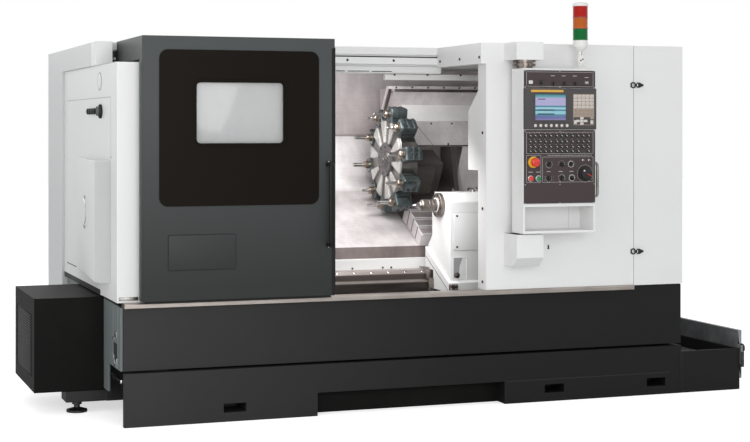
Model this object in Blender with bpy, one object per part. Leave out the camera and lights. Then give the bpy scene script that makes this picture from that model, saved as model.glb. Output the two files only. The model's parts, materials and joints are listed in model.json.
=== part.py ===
"""Slant-bed CNC turning centre, built as named sheet-metal, casting and mechanism pieces.

Metres, +Z up, +X to the operator's right, +Y away from the operator.
Pieces are laid out from the lower left front corner of the coolant tank, and
one empty then carries them all so that the origin is under the tank's middle.
"""
import bpy
import bmesh
from math import cos, pi, radians, sin, tan
from mathutils import Matrix, Vector

# Joints between touching pieces
GAP = 0.0003
RUNNING = 0.006

# Coolant tank and chip tray, along the front and round the right end
TANK_LENGTH = 3.19
TANK_DEPTH = 0.44
TANK_HEIGHT = 0.268
TRAY_END = 3.575
TRAY_DEPTH = 1.25
TRAY_HEIGHT = 0.234
TRAY_WALL = 0.015
TOE_LEFT = 1.02
TOE_RIGHT = 2.09
TOE_HEIGHT = 0.12
TOE_DEPTH = 0.09
APRON = 0.03
APRON_LENGTH = 0.24
FORK_SLOTS = (0.574, 2.392, 3.029)
FORK_SLOT_WIDTH = 0.118
FORK_SLOT_HEIGHT = 0.045
FORK_SLOT_BASE = 0.047
FORK_SLOT_DEPTH = 0.16
END_WALL_THICKNESS = 0.024
END_WALL_TOP = 0.335
SCREEN_SLAT = 0.012
SCREEN_HEIGHT = 0.165

# Machine base
BODY_LENGTH = 3.2
PANEL_FRONT = 0.02
PANEL_BASE = 0.278
PANEL_TOP = 0.593
SILL_FRONT = -0.01
SILL_BACK = 0.06
SILL_TOP = 0.618
SEAM_X = 2.883
DECK = 0.6147
CASTING_BASE = 0.06
CASTING_BACK = 1.95
REAR_STEP_Y = 1.51
REAR_STEP_Z = 0.40
CASTING_RIGHT = 3.17
SIDE_PLATE = 0.012
SIDE_PLATE_STEP = 0.33
SIDE_PLATE_BASE = 0.13
FOOT_RADIUS = 0.055
FOOT_REACH = 0.14
FOOT_FRONT_Y = TANK_DEPTH + 0.08
FOOT_REAR_Y = 1.80

# Chiller on the left end
CHILLER_LEFT = -0.377
CHILLER_FRONT = 0.44
CHILLER_BACK = 1.11
CHILLER_BASE = 0.12
CHILLER_TOP = 0.608

# Enclosure
COVER_LEFT = -0.03
COVER_FRONT = 0.03
COVER_TOP = 1.82
SIDE_DOOR_NEAR = 0.18
SIDE_DOOR_FOLD = 0.25
SIDE_DOOR_FAR = 1.11
SIDE_DOOR_BASE = 0.703
SIDE_DOOR_TOP = 1.322
SIDE_DOOR_REACH = 0.069
HEADSTOCK_RIGHT = 0.77
JAMB_X = 1.0
HOUSING_LEFT = -0.045
HOUSING_BACK = 2.0
HOUSING_TOP = 1.948
ROOF = 1.86
RAIL_FRONT = 0.57
RAIL_BACK = 0.62
RAIL_END_FRONT = 0.492
RAIL_END_RIGHT = 0.045
OPENING_RIGHT = 1.98
CABINET_SKIN = 0.06
CABINET_BASE = 0.6155
CHEEK_LEFT = 1.95

# Work chamber
WALL_X = 0.80
SPINDLE_Y = 0.58
SPINDLE_Z = 1.048
TROUGH_Z = 0.54
STRIP_Y = 0.80
STRIP_TOP = 0.7285
LIP_Y = 0.83
LIP_Z = 0.798
SHEET_SLOPE = radians(28.4)
SHEET_BACK_Y = 1.415
BACK_WALL_Y = 1.60
BACK_FOLD_Z = 1.446
CHAMBER_BACK = 1.64
CHUCK_RADIUS = 0.15

# Turret and slides
TURRET_X = 1.82
TURRET_OFFSET = 0.528
TURRET_Y = SPINDLE_Y + TURRET_OFFSET * cos(SHEET_SLOPE)
TURRET_Z = SPINDLE_Z + TURRET_OFFSET * sin(SHEET_SLOPE)
TURRET_THICKNESS = 0.11
TURRET_RADIUS = 0.235
STATIONS = 10
TOOL_CIRCLE = 0.278
HOLDER_REACH = 0.322
SADDLE_X = 1.945
SADDLE_WIDTH = 0.40
SADDLE_DEPTH = 0.125
COVER_OFF = 0.002
COVER_RIGHT = 2.75

# Tailstock
TAIL_X = 1.975
TAIL_LENGTH = 0.525
TAIL_FRONT = 0.45
TAIL_BACK = 0.70
TAIL_TOP = 1.12
NOSE_RADIUS = 0.070
QUILL_RADIUS = 0.0345
QUILL_CLEARANCE = 0.0006
QUILL_NOSE_X = 1.851
CENTRE_TIP_X = 1.798
RAIL_Y = 0.66
RAIL_TOP = 0.668

# Sliding door
DOOR_LEFT = 0.08
DOOR_RIGHT = 1.095
DOOR_FRONT = -0.05
DOOR_BACK = 0.01
DOOR_BASE = 0.628
DOOR_TOP = 1.95
CANOPY_BACK = 0.55
CANOPY_BASE = 1.832

# Control pendant
PIVOT_X = 2.16
PIVOT_Y = -0.09
PENDANT_LEFT = 2.10
PENDANT_RIGHT = 2.532
PENDANT_FRONT = -0.194
PENDANT_BACK = -0.015
PENDANT_BASE = 0.93
PENDANT_TOP = 1.806
FACE_THICKNESS = 0.006

COLOURS = {
    "charcoal_paint": ((0.045, 0.047, 0.047), 0.45, 0.0),
    "white_paint": ((0.80, 0.80, 0.79), 0.40, 0.0),
    "grey_primer": ((0.22, 0.25, 0.25), 0.55, 0.0),
    "black_box": ((0.012, 0.012, 0.011), 0.55, 0.0),
    "stainless": ((0.62, 0.58, 0.57), 0.35, 0.9),
    "steel": ((0.45, 0.44, 0.43), 0.30, 1.0),
    "cast_dark": ((0.06, 0.055, 0.052), 0.50, 0.4),
    "black_gloss": ((0.008, 0.008, 0.009), 0.20, 0.0),
    "window_glass": ((0.60, 0.62, 0.62), 0.10, 0.0),
    "panel_plastic": ((0.055, 0.042, 0.046), 0.50, 0.0),
    "red_lens": ((0.60, 0.03, 0.03), 0.15, 0.0),
    "amber_lens": ((0.75, 0.22, 0.03), 0.15, 0.0),
    "green_lens": ((0.01, 0.25, 0.06), 0.15, 0.0),
    "yellow_plastic": ((0.80, 0.45, 0.02), 0.40, 0.0),
    "white_plastic": ((0.78, 0.77, 0.75), 0.35, 0.0),
}

MATERIALS = {}


def clear_scene():
    """Removes whatever the start-up file holds."""
    for thing in list(bpy.data.objects):
        bpy.data.objects.remove(thing, do_unlink=True)


def material(name):
    """One Principled material per finish, made once."""
    if name not in MATERIALS:
        colour, roughness, metallic = COLOURS[name]
        made = bpy.data.materials.new(name)
        made.use_nodes = True
        shader = made.node_tree.nodes["Principled BSDF"]
        shader.inputs["Base Color"].default_value = (*colour, 1.0)
        shader.inputs["Roughness"].default_value = roughness
        shader.inputs["Metallic"].default_value = metallic
        MATERIALS[name] = made
    return MATERIALS[name]


def place(name, shape, finish, location=(0, 0, 0), smooth=False):
    """Turns a bmesh into a named object that stands on the machine's empty."""
    bmesh.ops.recalc_face_normals(shape, faces=shape.faces)
    mesh = bpy.data.meshes.new(name)
    shape.to_mesh(mesh)
    shape.free()
    if smooth:
        mesh.shade_smooth()
        mesh.set_sharp_from_angle(angle=radians(35))
    mesh.materials.append(material(finish))
    thing = bpy.data.objects.new(name, mesh)
    bpy.context.collection.objects.link(thing)
    thing.location = location
    thing.parent = MACHINE
    return thing


def block_shape(low, high):
    """An upright box between two corners."""
    shape = bmesh.new()
    size = [high[k] - low[k] for k in range(3)]
    middle = [(high[k] + low[k]) / 2 for k in range(3)]
    turn = Matrix.Translation(middle) @ Matrix.Diagonal((*size, 1.0))
    bmesh.ops.create_cube(shape, size=1.0, matrix=turn)
    return shape


def prism_shape(outline, start, end, axis="X"):
    """Extrudes a closed outline along X (y, z), Y (x, z) or Z (x, y)."""
    shape = bmesh.new()
    lifts = {"X": lambda a, b, c: (c, a, b), "Y": lambda a, b, c: (a, c, b), "Z": lambda a, b, c: (a, b, c)}
    lift = lifts[axis]
    ring = [shape.verts.new(lift(a, b, start)) for a, b in outline]
    face = shape.faces.new(ring)
    grown = bmesh.ops.extrude_face_region(shape, geom=[face])
    raised = [item for item in grown["geom"] if isinstance(item, bmesh.types.BMVert)]
    bmesh.ops.translate(shape, verts=raised, vec=Vector(lift(0, 0, end - start)))
    return shape


def turned_shape(profile, sides=32):
    """Revolves (radius, height) pairs about Z; the profile starts and ends on the axis."""
    shape = bmesh.new()
    rings = []
    for radius, height in profile:
        if radius < 1e-6:
            rings.append([shape.verts.new((0, 0, height))])
            continue
        turn = [2 * pi * k / sides for k in range(sides)]
        rings.append([shape.verts.new((radius * cos(a), radius * sin(a), height)) for a in turn])
    for lower, upper in zip(rings, rings[1:]):
        for k in range(sides):
            a, b = lower[k % len(lower)], lower[(k + 1) % len(lower)]
            c, d = upper[(k + 1) % len(upper)], upper[k % len(upper)]
            corners = [a, b, c, d]
            if len(lower) == 1:
                corners = [a, c, d]
            elif len(upper) == 1:
                corners = [a, b, c]
            shape.faces.new(corners)
    return shape


def along_x(shape, x, y, z):
    """Lays a shape turned about Z down along +X, with its zero height at x."""
    turn = Matrix.Translation((x, y, z)) @ Matrix.Rotation(pi / 2, 4, "Y")
    bmesh.ops.transform(shape, verts=shape.verts, matrix=turn)
    return shape


def combine(thing, shape, operation):
    """Adds a Boolean with a hidden cutter or filler."""
    helper = place(thing.name + "_" + operation.lower(), shape, "steel", thing.location)
    helper.hide_render = True
    helper.display_type = "WIRE"
    helper.location = (0, 0, 0)
    step = thing.modifiers.new(operation.title(), "BOOLEAN")
    step.operation = operation
    step.solver = "EXACT"
    step.object = helper
    return thing


def cut(thing, *shapes):
    """Takes shapes away from a piece."""
    for shape in shapes:
        combine(thing, shape, "DIFFERENCE")
    return thing


def fuse(thing, *shapes):
    """Adds shapes to a piece."""
    for shape in shapes:
        combine(thing, shape, "UNION")
    return thing


def block(name, low, high, finish):
    return place(name, block_shape(low, high), finish)


def prism(name, outline, start, end, finish, axis="X"):
    return place(name, prism_shape(outline, start, end, axis), finish)


def bed(along, off):
    """A point (y, z) along the slanted slide and off it, from the turret's axis."""
    y = TURRET_Y + along * cos(SHEET_SLOPE) - off * sin(SHEET_SLOPE)
    z = TURRET_Z + along * sin(SHEET_SLOPE) + off * cos(SHEET_SLOPE)
    return y, z


def sheet_offset():
    """How far the chip sheet lies under the turret's axis, square to the slide."""
    return -(LIP_Y - TURRET_Y) * sin(SHEET_SLOPE) + (LIP_Z - TURRET_Z) * cos(SHEET_SLOPE)


def slant_block(along, off, x):
    """A box square to the slide: ranges along it, off it and across the machine."""
    corners = [bed(along[0], off[0]), bed(along[1], off[0]), bed(along[1], off[1]), bed(along[0], off[1])]
    return prism_shape(corners, x[0], x[1])


def coolant_tank():
    tank = block("coolant_tank", (0, 0, 0), (TANK_LENGTH, TANK_DEPTH, TANK_HEIGHT), "charcoal_paint")
    cut(tank, block_shape((TOE_LEFT, -0.1, -0.1), (TOE_RIGHT, TOE_DEPTH, TOE_HEIGHT)))
    cut(tank, block_shape((-0.1, APRON, -0.1), (APRON_LENGTH, TANK_DEPTH + 0.1, TANK_HEIGHT + 0.1)))
    for middle in FORK_SLOTS:
        low = (middle - FORK_SLOT_WIDTH / 2, -0.1, FORK_SLOT_BASE)
        high = (middle + FORK_SLOT_WIDTH / 2, FORK_SLOT_DEPTH, FORK_SLOT_BASE + FORK_SLOT_HEIGHT)
        cut(tank, block_shape(low, high))


def chip_tray():
    left = TANK_LENGTH + GAP
    tray = block("chip_tray", (left, 0, 0), (TRAY_END, TRAY_DEPTH, TRAY_HEIGHT), "charcoal_paint")
    inside_low = (left + TRAY_WALL, TRAY_WALL, 0.02)
    cut(tray, block_shape(inside_low, (TRAY_END - TRAY_WALL, TRAY_DEPTH - TRAY_WALL, TRAY_HEIGHT + 0.1)))
    wall_left = TRAY_END + GAP
    wall_right = wall_left + END_WALL_THICKNESS
    wall = block("tray_end_wall", (wall_left, 0.016, 0.06), (wall_right, TRAY_DEPTH, END_WALL_TOP), "charcoal_paint")
    fuse(wall, block_shape((wall_left + 0.001, -0.012, 0.14), (wall_left + 0.02, 0.03, 0.25)))


def tray_screen():
    """Slatted chip screen that lies in the tray: two long bearers and cross slats."""
    left = TANK_LENGTH + GAP + TRAY_WALL + GAP
    right = TRAY_END - TRAY_WALL - GAP
    front = TRAY_WALL + GAP
    back = TRAY_DEPTH - TRAY_WALL - GAP
    top = SCREEN_HEIGHT
    screen = block("tray_screen", (left, front, 0.02 + GAP), (left + SCREEN_SLAT, back, top), "stainless")
    fuse(screen, block_shape((right - SCREEN_SLAT, front, 0.02 + GAP), (right, back, top)))
    count = 12
    for k in range(count):
        y = front + 0.02 + k * (back - front - 0.04 - SCREEN_SLAT) / (count - 1)
        fuse(screen, block_shape((left + 0.002, y, top - 0.03), (right - 0.002, y + SCREEN_SLAT, top - 0.002)))


def machine_base():
    step_x = SEAM_X + 0.003
    outline = [
        (0, PANEL_BASE), (BODY_LENGTH, PANEL_BASE), (BODY_LENGTH, CABINET_BASE - 0.004),
        (step_x, CABINET_BASE - 0.004), (step_x, PANEL_TOP), (0, PANEL_TOP),
    ]
    panel = prism("front_panel", outline, PANEL_FRONT, TANK_DEPTH, "charcoal_paint", "Y")
    cut(panel, block_shape((WALL_X, SILL_BACK + 0.04, TROUGH_Z), (SEAM_X, TANK_DEPTH + 0.1, PANEL_TOP + 0.1)))
    sill = [
        (SILL_FRONT, PANEL_TOP + GAP), (SILL_BACK, PANEL_TOP + GAP), (SILL_BACK, SILL_TOP),
        (SILL_FRONT + 0.004, SILL_TOP), (SILL_FRONT, SILL_TOP - 0.006),
    ]
    prism("sill_rail", sill, 0, SEAM_X, "stainless")
    front = TANK_DEPTH + GAP
    section = [
        (front, CASTING_BASE), (CASTING_BACK, CASTING_BASE), (CASTING_BACK, REAR_STEP_Z - GAP),
        (REAR_STEP_Y, REAR_STEP_Z - GAP), (REAR_STEP_Y, DECK), (front, DECK),
    ]
    casting = prism("base_casting", section, 0, CASTING_RIGHT, "charcoal_paint")
    for y in (FOOT_FRONT_Y, FOOT_REAR_Y):
        arm_low = (-FOOT_REACH - 0.07, y - 0.07, CASTING_BASE)
        fuse(casting, block_shape(arm_low, (0.1, y + 0.07, CHILLER_BASE - GAP)))
    cut(casting, block_shape((WALL_X, TANK_DEPTH - 0.1, TROUGH_Z), (SEAM_X, STRIP_Y, DECK + 0.1)))
    side = [
        (PANEL_FRONT + 0.01, PANEL_BASE), (SIDE_PLATE_STEP, PANEL_BASE), (SIDE_PLATE_STEP, SIDE_PLATE_BASE),
        (REAR_STEP_Y, SIDE_PLATE_BASE), (REAR_STEP_Y, DECK), (PANEL_FRONT + 0.01, PANEL_TOP),
    ]
    prism("side_plate_left", side, -SIDE_PLATE - GAP, -GAP, "grey_primer")


def levelling_feet():
    """Pad, stem and lock nut under each corner of the base."""
    places = (
        ("levelling_foot_front_left", -FOOT_REACH, FOOT_FRONT_Y),
        ("levelling_foot_rear_left", -FOOT_REACH, FOOT_REAR_Y),
        ("levelling_foot_front_right", CASTING_RIGHT - 0.12, FOOT_FRONT_Y),
        ("levelling_foot_rear_right", CASTING_RIGHT - 0.12, FOOT_REAR_Y),
    )
    for name, x, y in places:
        profile = [
            (0, 0), (FOOT_RADIUS, 0), (FOOT_RADIUS, 0.012), (0.022, 0.022), (0.016, 0.024),
            (0.016, 0.040), (0.026, 0.040), (0.026, CASTING_BASE - GAP), (0, CASTING_BASE - GAP),
        ]
        place(name, turned_shape(profile, 24), "steel", (x, y, 0), smooth=True)


def chiller():
    right = -SIDE_PLATE - 2 * GAP
    low = (CHILLER_LEFT, CHILLER_FRONT, CHILLER_BASE)
    box = block("coolant_chiller", low, (right, CHILLER_BACK, CHILLER_TOP), "black_box")
    vent_low = (CHILLER_LEFT - 0.1, CHILLER_FRONT + 0.07, CHILLER_BASE + 0.07)
    vent_high = (CHILLER_LEFT + 0.02, CHILLER_BACK - 0.07, CHILLER_TOP - 0.09)
    cut(box, block_shape(vent_low, vent_high))
    front = CHILLER_FRONT + 0.07 + GAP
    back = CHILLER_BACK - 0.07 - GAP
    low = CHILLER_BASE + 0.07 + GAP
    high = CHILLER_TOP - 0.09 - GAP
    grille_low = (CHILLER_LEFT + 0.002, front, low)
    grille = block("chiller_grille", grille_low, (CHILLER_LEFT + 0.02 - GAP, back, high), "black_box")
    count = 9
    pitch = (high - low) / count
    for k in range(count):
        z = low + (k + 0.5) * pitch
        slot_low = (CHILLER_LEFT - 0.1, front + 0.02, z - pitch * 0.25)
        cut(grille, block_shape(slot_low, (CHILLER_LEFT + 0.012, back - 0.02, z + pitch * 0.25)))


def headstock_cover():
    """White box round the headstock, its front return and the bulged side door."""
    low = (COVER_LEFT, COVER_FRONT, DECK + GAP)
    cover = block("headstock_cover", low, (HEADSTOCK_RIGHT, REAR_STEP_Y, COVER_TOP), "white_paint")
    jamb_low = (HEADSTOCK_RIGHT - 0.1, COVER_FRONT, SILL_TOP + GAP)
    fuse(cover, block_shape(jamb_low, (JAMB_X, COVER_FRONT + 0.03, COVER_TOP)))
    front_foot = block_shape((COVER_LEFT - 0.1, COVER_FRONT - 0.1, DECK - 0.1), (JAMB_X + 0.1, TANK_DEPTH, SILL_TOP + GAP))
    cut(cover, front_foot)
    door = [
        (COVER_LEFT - GAP, SIDE_DOOR_NEAR), (COVER_LEFT - SIDE_DOOR_REACH, SIDE_DOOR_FOLD),
        (COVER_LEFT - SIDE_DOOR_REACH + 0.001, SIDE_DOOR_FOLD + 0.01), (COVER_LEFT - GAP, SIDE_DOOR_FAR),
    ]
    prism("headstock_side_door", door, SIDE_DOOR_BASE, SIDE_DOOR_TOP, "white_paint", "Z")


def rear_housing():
    """Electrical cabinet at the back, with the roof that reaches forward over the chamber."""
    section = [
        (REAR_STEP_Y + GAP, REAR_STEP_Z), (HOUSING_BACK, REAR_STEP_Z), (HOUSING_BACK, HOUSING_TOP),
        (RAIL_BACK + GAP, HOUSING_TOP), (RAIL_BACK + GAP, COVER_TOP + GAP), (REAR_STEP_Y + GAP, COVER_TOP + GAP),
    ]
    housing = prism("rear_housing", section, HOUSING_LEFT, BODY_LENGTH, "white_paint")
    cut(housing, block_shape((WALL_X, RAIL_BACK - 0.1, STRIP_TOP), (SEAM_X, CHAMBER_BACK + GAP, ROOF)))


def header_rail():
    """Door rail over the opening: a fascia with grooves for the rollers."""
    base = COVER_TOP - 0.02
    outline = [
        (RAIL_BACK, base), (RAIL_BACK, HOUSING_TOP), (RAIL_FRONT, HOUSING_TOP), (RAIL_FRONT, 1.905),
        (RAIL_FRONT + 0.012, 1.905), (RAIL_FRONT + 0.012, 1.893), (RAIL_FRONT, 1.893), (RAIL_FRONT, 1.852),
        (RAIL_FRONT + 0.010, 1.846), (RAIL_FRONT + 0.010, 1.818), (RAIL_FRONT + 0.02, base),
    ]
    rail = prism("header_rail", outline, HOUSING_LEFT, OPENING_RIGHT - GAP, "white_paint")
    over_cover = (HEADSTOCK_RIGHT + 0.0005, RAIL_BACK + 0.1, COVER_TOP + GAP)
    cut(rail, block_shape((HOUSING_LEFT - 0.1, RAIL_FRONT - 0.1, base - 0.1), over_cover))
    end_low = (HOUSING_LEFT, RAIL_END_FRONT, COVER_TOP + GAP)
    fuse(rail, block_shape(end_low, (RAIL_END_RIGHT, RAIL_BACK, HOUSING_TOP)))


def right_cabinet():
    """Fixed front on the right of the opening: skin, pillar return, header box and cheek."""
    cabinet = block("right_cabinet", (OPENING_RIGHT, 0, SILL_TOP + GAP), (SEAM_X, CABINET_SKIN, HOUSING_TOP), "white_paint")
    fuse(cabinet, block_shape((OPENING_RIGHT, 0.01, SILL_TOP + GAP), (OPENING_RIGHT + 0.02, 0.10, HOUSING_TOP)))
    fuse(cabinet, block_shape((OPENING_RIGHT, 0.01, ROOF), (SEAM_X, RAIL_BACK, HOUSING_TOP)))
    cheek_high = (OPENING_RIGHT + 0.01, RAIL_FRONT - GAP, HOUSING_TOP)
    fuse(cabinet, block_shape((CHEEK_LEFT, 0.0, CANOPY_BASE + 0.004), cheek_high))
    gusset = [(0.09, 1.26), (0.23, 1.26), (0.23, 1.58), (0.10, 1.70), (0.09, 1.70)]
    fuse(cabinet, prism_shape(gusset, OPENING_RIGHT + 0.002, OPENING_RIGHT + 0.018))
    end_left = SEAM_X + GAP
    end_front = 0.02 + GAP
    section = [
        (end_front, DECK + GAP), (REAR_STEP_Y, DECK + GAP), (REAR_STEP_Y, COVER_TOP),
        (RAIL_BACK, COVER_TOP), (RAIL_BACK, HOUSING_TOP), (end_front, HOUSING_TOP),
    ]
    prism("end_cabinet", section, end_left, BODY_LENGTH, "white_paint")


def bed_and_chamber():
    """Bed top, tailstock rails, the stainless lining and the spindle's end wall."""
    left = WALL_X + GAP
    right = SEAM_X - GAP
    block("bed_front", (left, STRIP_Y, DECK + GAP), (right, REAR_STEP_Y, STRIP_TOP), "white_paint")
    back = STRIP_Y - GAP
    rails = [
        (RAIL_Y, TROUGH_Z + GAP), (back, TROUGH_Z + GAP), (back, RAIL_TOP), (RAIL_Y + 0.065, RAIL_TOP),
        (RAIL_Y + 0.04, RAIL_TOP - 0.02), (RAIL_Y + 0.04, 0.610), (RAIL_Y, 0.605),
    ]
    prism("tailstock_rails", rails, left, right, "steel")
    sheet_top = LIP_Z + (SHEET_BACK_Y - LIP_Y) * tan(SHEET_SLOPE)
    base = STRIP_TOP + GAP
    lining = [
        (LIP_Y, base), (CHAMBER_BACK, base), (CHAMBER_BACK, ROOF - GAP), (BACK_WALL_Y, ROOF - GAP),
        (BACK_WALL_Y, BACK_FOLD_Z), (SHEET_BACK_Y, sheet_top), (LIP_Y, LIP_Z),
    ]
    prism("chamber_lining", lining, left, right, "stainless")
    wall_low = (HEADSTOCK_RIGHT + GAP, SILL_BACK + 0.002, DECK + GAP)
    block("spindle_wall", wall_low, (WALL_X, REAR_STEP_Y, COVER_TOP - 0.021), "stainless")


def chuck():
    """Spindle nose and three-jaw chuck, on the headstock's end wall."""
    nose = [
        (0, 0), (0.11, 0), (0.11, 0.035), (CHUCK_RADIUS, 0.035), (CHUCK_RADIUS, 0.150),
        (CHUCK_RADIUS - 0.012, 0.165), (0.04, 0.165), (0.04, 0.12), (0, 0.12),
    ]
    body = place("chuck", along_x(turned_shape(nose, 48), WALL_X + GAP, SPINDLE_Y, SPINDLE_Z), "steel", smooth=True)
    start = WALL_X + GAP + 0.15
    for k in range(3):
        turn = Matrix.Translation((0, SPINDLE_Y, SPINDLE_Z)) @ Matrix.Rotation(pi / 2 + 2 * pi * k / 3, 4, "X")
        outline = [
            (start, 0.045), (start + 0.075, 0.045), (start + 0.075, 0.075),
            (start + 0.045, 0.075), (start + 0.045, 0.120), (start, 0.120),
        ]
        jaw = prism_shape(outline, -0.019, 0.019, "Y")
        bmesh.ops.transform(jaw, verts=jaw.verts, matrix=turn)
        fuse(body, jaw)


def saddle():
    """Saddle on the slanted bed, its telescopic cover plates and the chamber cover above it."""
    sheet = sheet_offset()
    top = sheet + SADDLE_DEPTH
    right = SADDLE_X + SADDLE_WIDTH
    body = place("saddle", slant_block((-0.15, 0.20), (sheet + RUNNING, top), (SADDLE_X, right)), "cast_dark")
    for along in (-0.148, 0.178):
        fuse(body, slant_block((along, along + 0.02), (sheet + GAP, sheet + 0.02), (SADDLE_X + 0.01, right - 0.01)))
    under = COVER_OFF - GAP
    web = [bed(-0.05, top - 0.02), bed(0.195, top - 0.02), bed(0.34, under), bed(0.157, under)]
    fuse(body, prism_shape(web, right - 0.03, right - 0.001))
    plates = 4
    reach = (-0.44, -0.15 - GAP)
    pitch = (reach[1] - reach[0]) / plates
    cover = None
    for k in range(plates):
        height = top - 0.012 * (plates - k)
        shape = slant_block((reach[0] + k * pitch, reach[1]), (sheet + RUNNING, height), (SADDLE_X, SADDLE_X + 0.20))
        if cover is None:
            cover = place("slide_cover", shape, "stainless")
        else:
            fuse(cover, shape)
    back = bed(0.44, COVER_OFF)
    outline = [
        (1.30, 1.735), (1.30, 1.712), (1.38, 1.635), (1.25, 1.530), bed(0.155, COVER_OFF), back, (back[0], 1.735),
    ]
    prism("saddle_cover", outline, SADDLE_X, COVER_RIGHT, "stainless")


def turret():
    """Tool turret: slide body, station disc with its blocks, and the boring bars."""
    x = TURRET_X + TURRET_THICKNESS + GAP
    seat = sheet_offset() + SADDLE_DEPTH + GAP
    body = place("turret_slide", slant_block((-0.02, 0.15), (seat, -0.02), (x + 0.02, 2.20)), "cast_dark")
    fuse(body, slant_block((-0.09, 0.03), (-0.14, -0.015), (x + 0.002, x + 0.06)))
    fuse(body, slant_block((-0.08, 0.05), (-0.20, -0.03), (x + 0.03, x + 0.20)))
    flange = [(0, 0), (0.095, 0), (0.095, 0.0095), (0, 0.0095)]
    fuse(body, along_x(turned_shape(flange, 32), x, TURRET_Y, TURRET_Z))
    flat = TURRET_RADIUS / cos(pi / STATIONS)
    turns = [SHEET_SLOPE + pi * (2 * k + 1) / STATIONS for k in range(STATIONS)]
    sides = [(TURRET_Y + flat * cos(turn), TURRET_Z + flat * sin(turn)) for turn in turns]
    disc = prism("turret_disc", sides, TURRET_X, TURRET_X + TURRET_THICKNESS, "steel")
    hub = [(0, -0.022), (0.085, -0.022), (0.095, -0.012), (0.095, 0.02), (0, 0.02)]
    fuse(disc, along_x(turned_shape(hub, 32), TURRET_X, TURRET_Y, TURRET_Z))
    for k in range(STATIONS):
        turn = SHEET_SLOPE + 2 * pi * k / STATIONS
        spin = Matrix.Translation((0, TURRET_Y, TURRET_Z)) @ Matrix.Rotation(turn, 4, "X")
        groove = [(0.115, -0.012), (0.30, -0.03), (0.30, 0.03), (0.115, 0.012)]
        wedge = prism_shape(groove, TURRET_X - 0.05, TURRET_X + 0.012)
        bmesh.ops.transform(wedge, verts=wedge.verts, matrix=spin)
        cut(disc, wedge)
        holder_low = (TURRET_X + 0.002, TURRET_RADIUS - 0.008, -0.042)
        holder = block_shape(holder_low, (TURRET_X + 0.112, HOLDER_REACH, 0.042))
        bmesh.ops.transform(holder, verts=holder.verts, matrix=spin)
        fuse(disc, holder)
        bar = [(0, -0.10), (0.012, -0.10), (0.012, 0.0), (0.024, 0.0), (0.024, 0.02), (0, 0.02)]
        tool = along_x(turned_shape(bar, 16), TURRET_X, TOOL_CIRCLE, 0)
        bmesh.ops.transform(tool, verts=tool.verts, matrix=spin)
        fuse(disc, tool)


def tailstock():
    """Tailstock on its rails, with the quill and the live centre."""
    right = TAIL_X + TAIL_LENGTH
    outline = [
        (TAIL_FRONT, 0.61), (0.757, 0.78), (0.757, 0.81), (TAIL_BACK, 0.87), (TAIL_BACK, TAIL_TOP - 0.05),
        (TAIL_BACK - 0.04, TAIL_TOP), (TAIL_FRONT + 0.05, TAIL_TOP), (TAIL_FRONT, TAIL_TOP - 0.05),
    ]
    body = prism("tailstock_body", outline, TAIL_X, right, "white_paint")
    seat = RAIL_TOP + GAP
    low = TROUGH_Z + 0.02
    front = TANK_DEPTH - 0.005
    slab = [
        (front, low), (RAIL_Y - 0.007, low), (RAIL_Y - 0.007, seat), (0.765, seat), (0.765, 0.797),
        (front, 0.615),
    ]
    fuse(body, prism_shape(slab, TAIL_X - 0.015, right + 0.03))
    nose = [(0, -0.022), (NOSE_RADIUS, -0.022), (NOSE_RADIUS, 0.01), (0, 0.01)]
    fuse(body, along_x(turned_shape(nose, 32), TAIL_X, SPINDLE_Y, SPINDLE_Z))
    bore = QUILL_RADIUS + QUILL_CLEARANCE
    drill = turned_shape([(0, -0.1), (bore, -0.1), (bore, 0.30), (0, 0.30)], 32)
    cut(body, along_x(drill, TAIL_X, SPINDLE_Y, SPINDLE_Z))
    length = TAIL_X + 0.15 - QUILL_NOSE_X
    lead = QUILL_NOSE_X - CENTRE_TIP_X
    quill = [
        (0, -lead), (0.009, -lead + 0.018), (0.009, -0.012), (0.018, -0.010), (0.018, 0),
        (QUILL_RADIUS, 0), (QUILL_RADIUS, length), (0, length),
    ]
    place("tailstock_quill", along_x(turned_shape(quill, 32), QUILL_NOSE_X, SPINDLE_Y, SPINDLE_Z), "steel", smooth=True)


def sliding_door():
    """Door leaf with its canopy, the gloss panel, the window and the pull bar."""
    low = (DOOR_LEFT, DOOR_FRONT, DOOR_BASE)
    shell = block("door_shell", low, (DOOR_RIGHT, DOOR_BACK, DOOR_TOP), "charcoal_paint")
    fuse(shell, block_shape((DOOR_LEFT, DOOR_FRONT + 0.01, DOOR_TOP - 0.02), (DOOR_RIGHT, CANOPY_BACK, DOOR_TOP)))
    for x in (DOOR_LEFT, DOOR_RIGHT - 0.02):
        fuse(shell, block_shape((x, DOOR_FRONT + 0.01, CANOPY_BASE), (x + 0.02, CANOPY_BACK, DOOR_TOP)))
    for x in (DOOR_LEFT + 0.08, DOOR_RIGHT - 0.16):
        fuse(shell, block_shape((x, -0.004, SILL_TOP + GAP), (x + 0.08, 0.006, DOOR_BASE + 0.01)))
    left, right, low, high = 0.166, 1.007, 1.099, 1.882
    window = (0.354, 0.822, 1.409, 1.724)
    panel = block("door_panel", (left, DOOR_FRONT - 0.004, low), (right, DOOR_FRONT - GAP, high), "black_gloss")
    hole = ((window[0], DOOR_FRONT - 0.1, window[2]), (window[1], DOOR_BACK + 0.1, window[3]))
    cut(panel, block_shape(*hole))
    cut(shell, block_shape(*hole))
    pane_low = (window[0] + GAP, DOOR_FRONT + 0.02, window[2] + GAP)
    pane_high = (window[1] - GAP, DOOR_FRONT + 0.028, window[3] - GAP)
    block("door_window", pane_low, pane_high, "window_glass")
    x = 1.06
    bar = block("door_handle", (x - 0.012, DOOR_FRONT - 0.06, 0.88), (x + 0.012, DOOR_FRONT - 0.036, 1.315), "steel")
    for z in (0.88, 1.295):
        fuse(bar, block_shape((x - 0.010, DOOR_FRONT - 0.05, z), (x + 0.010, DOOR_FRONT - GAP, z + 0.02)))


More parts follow.
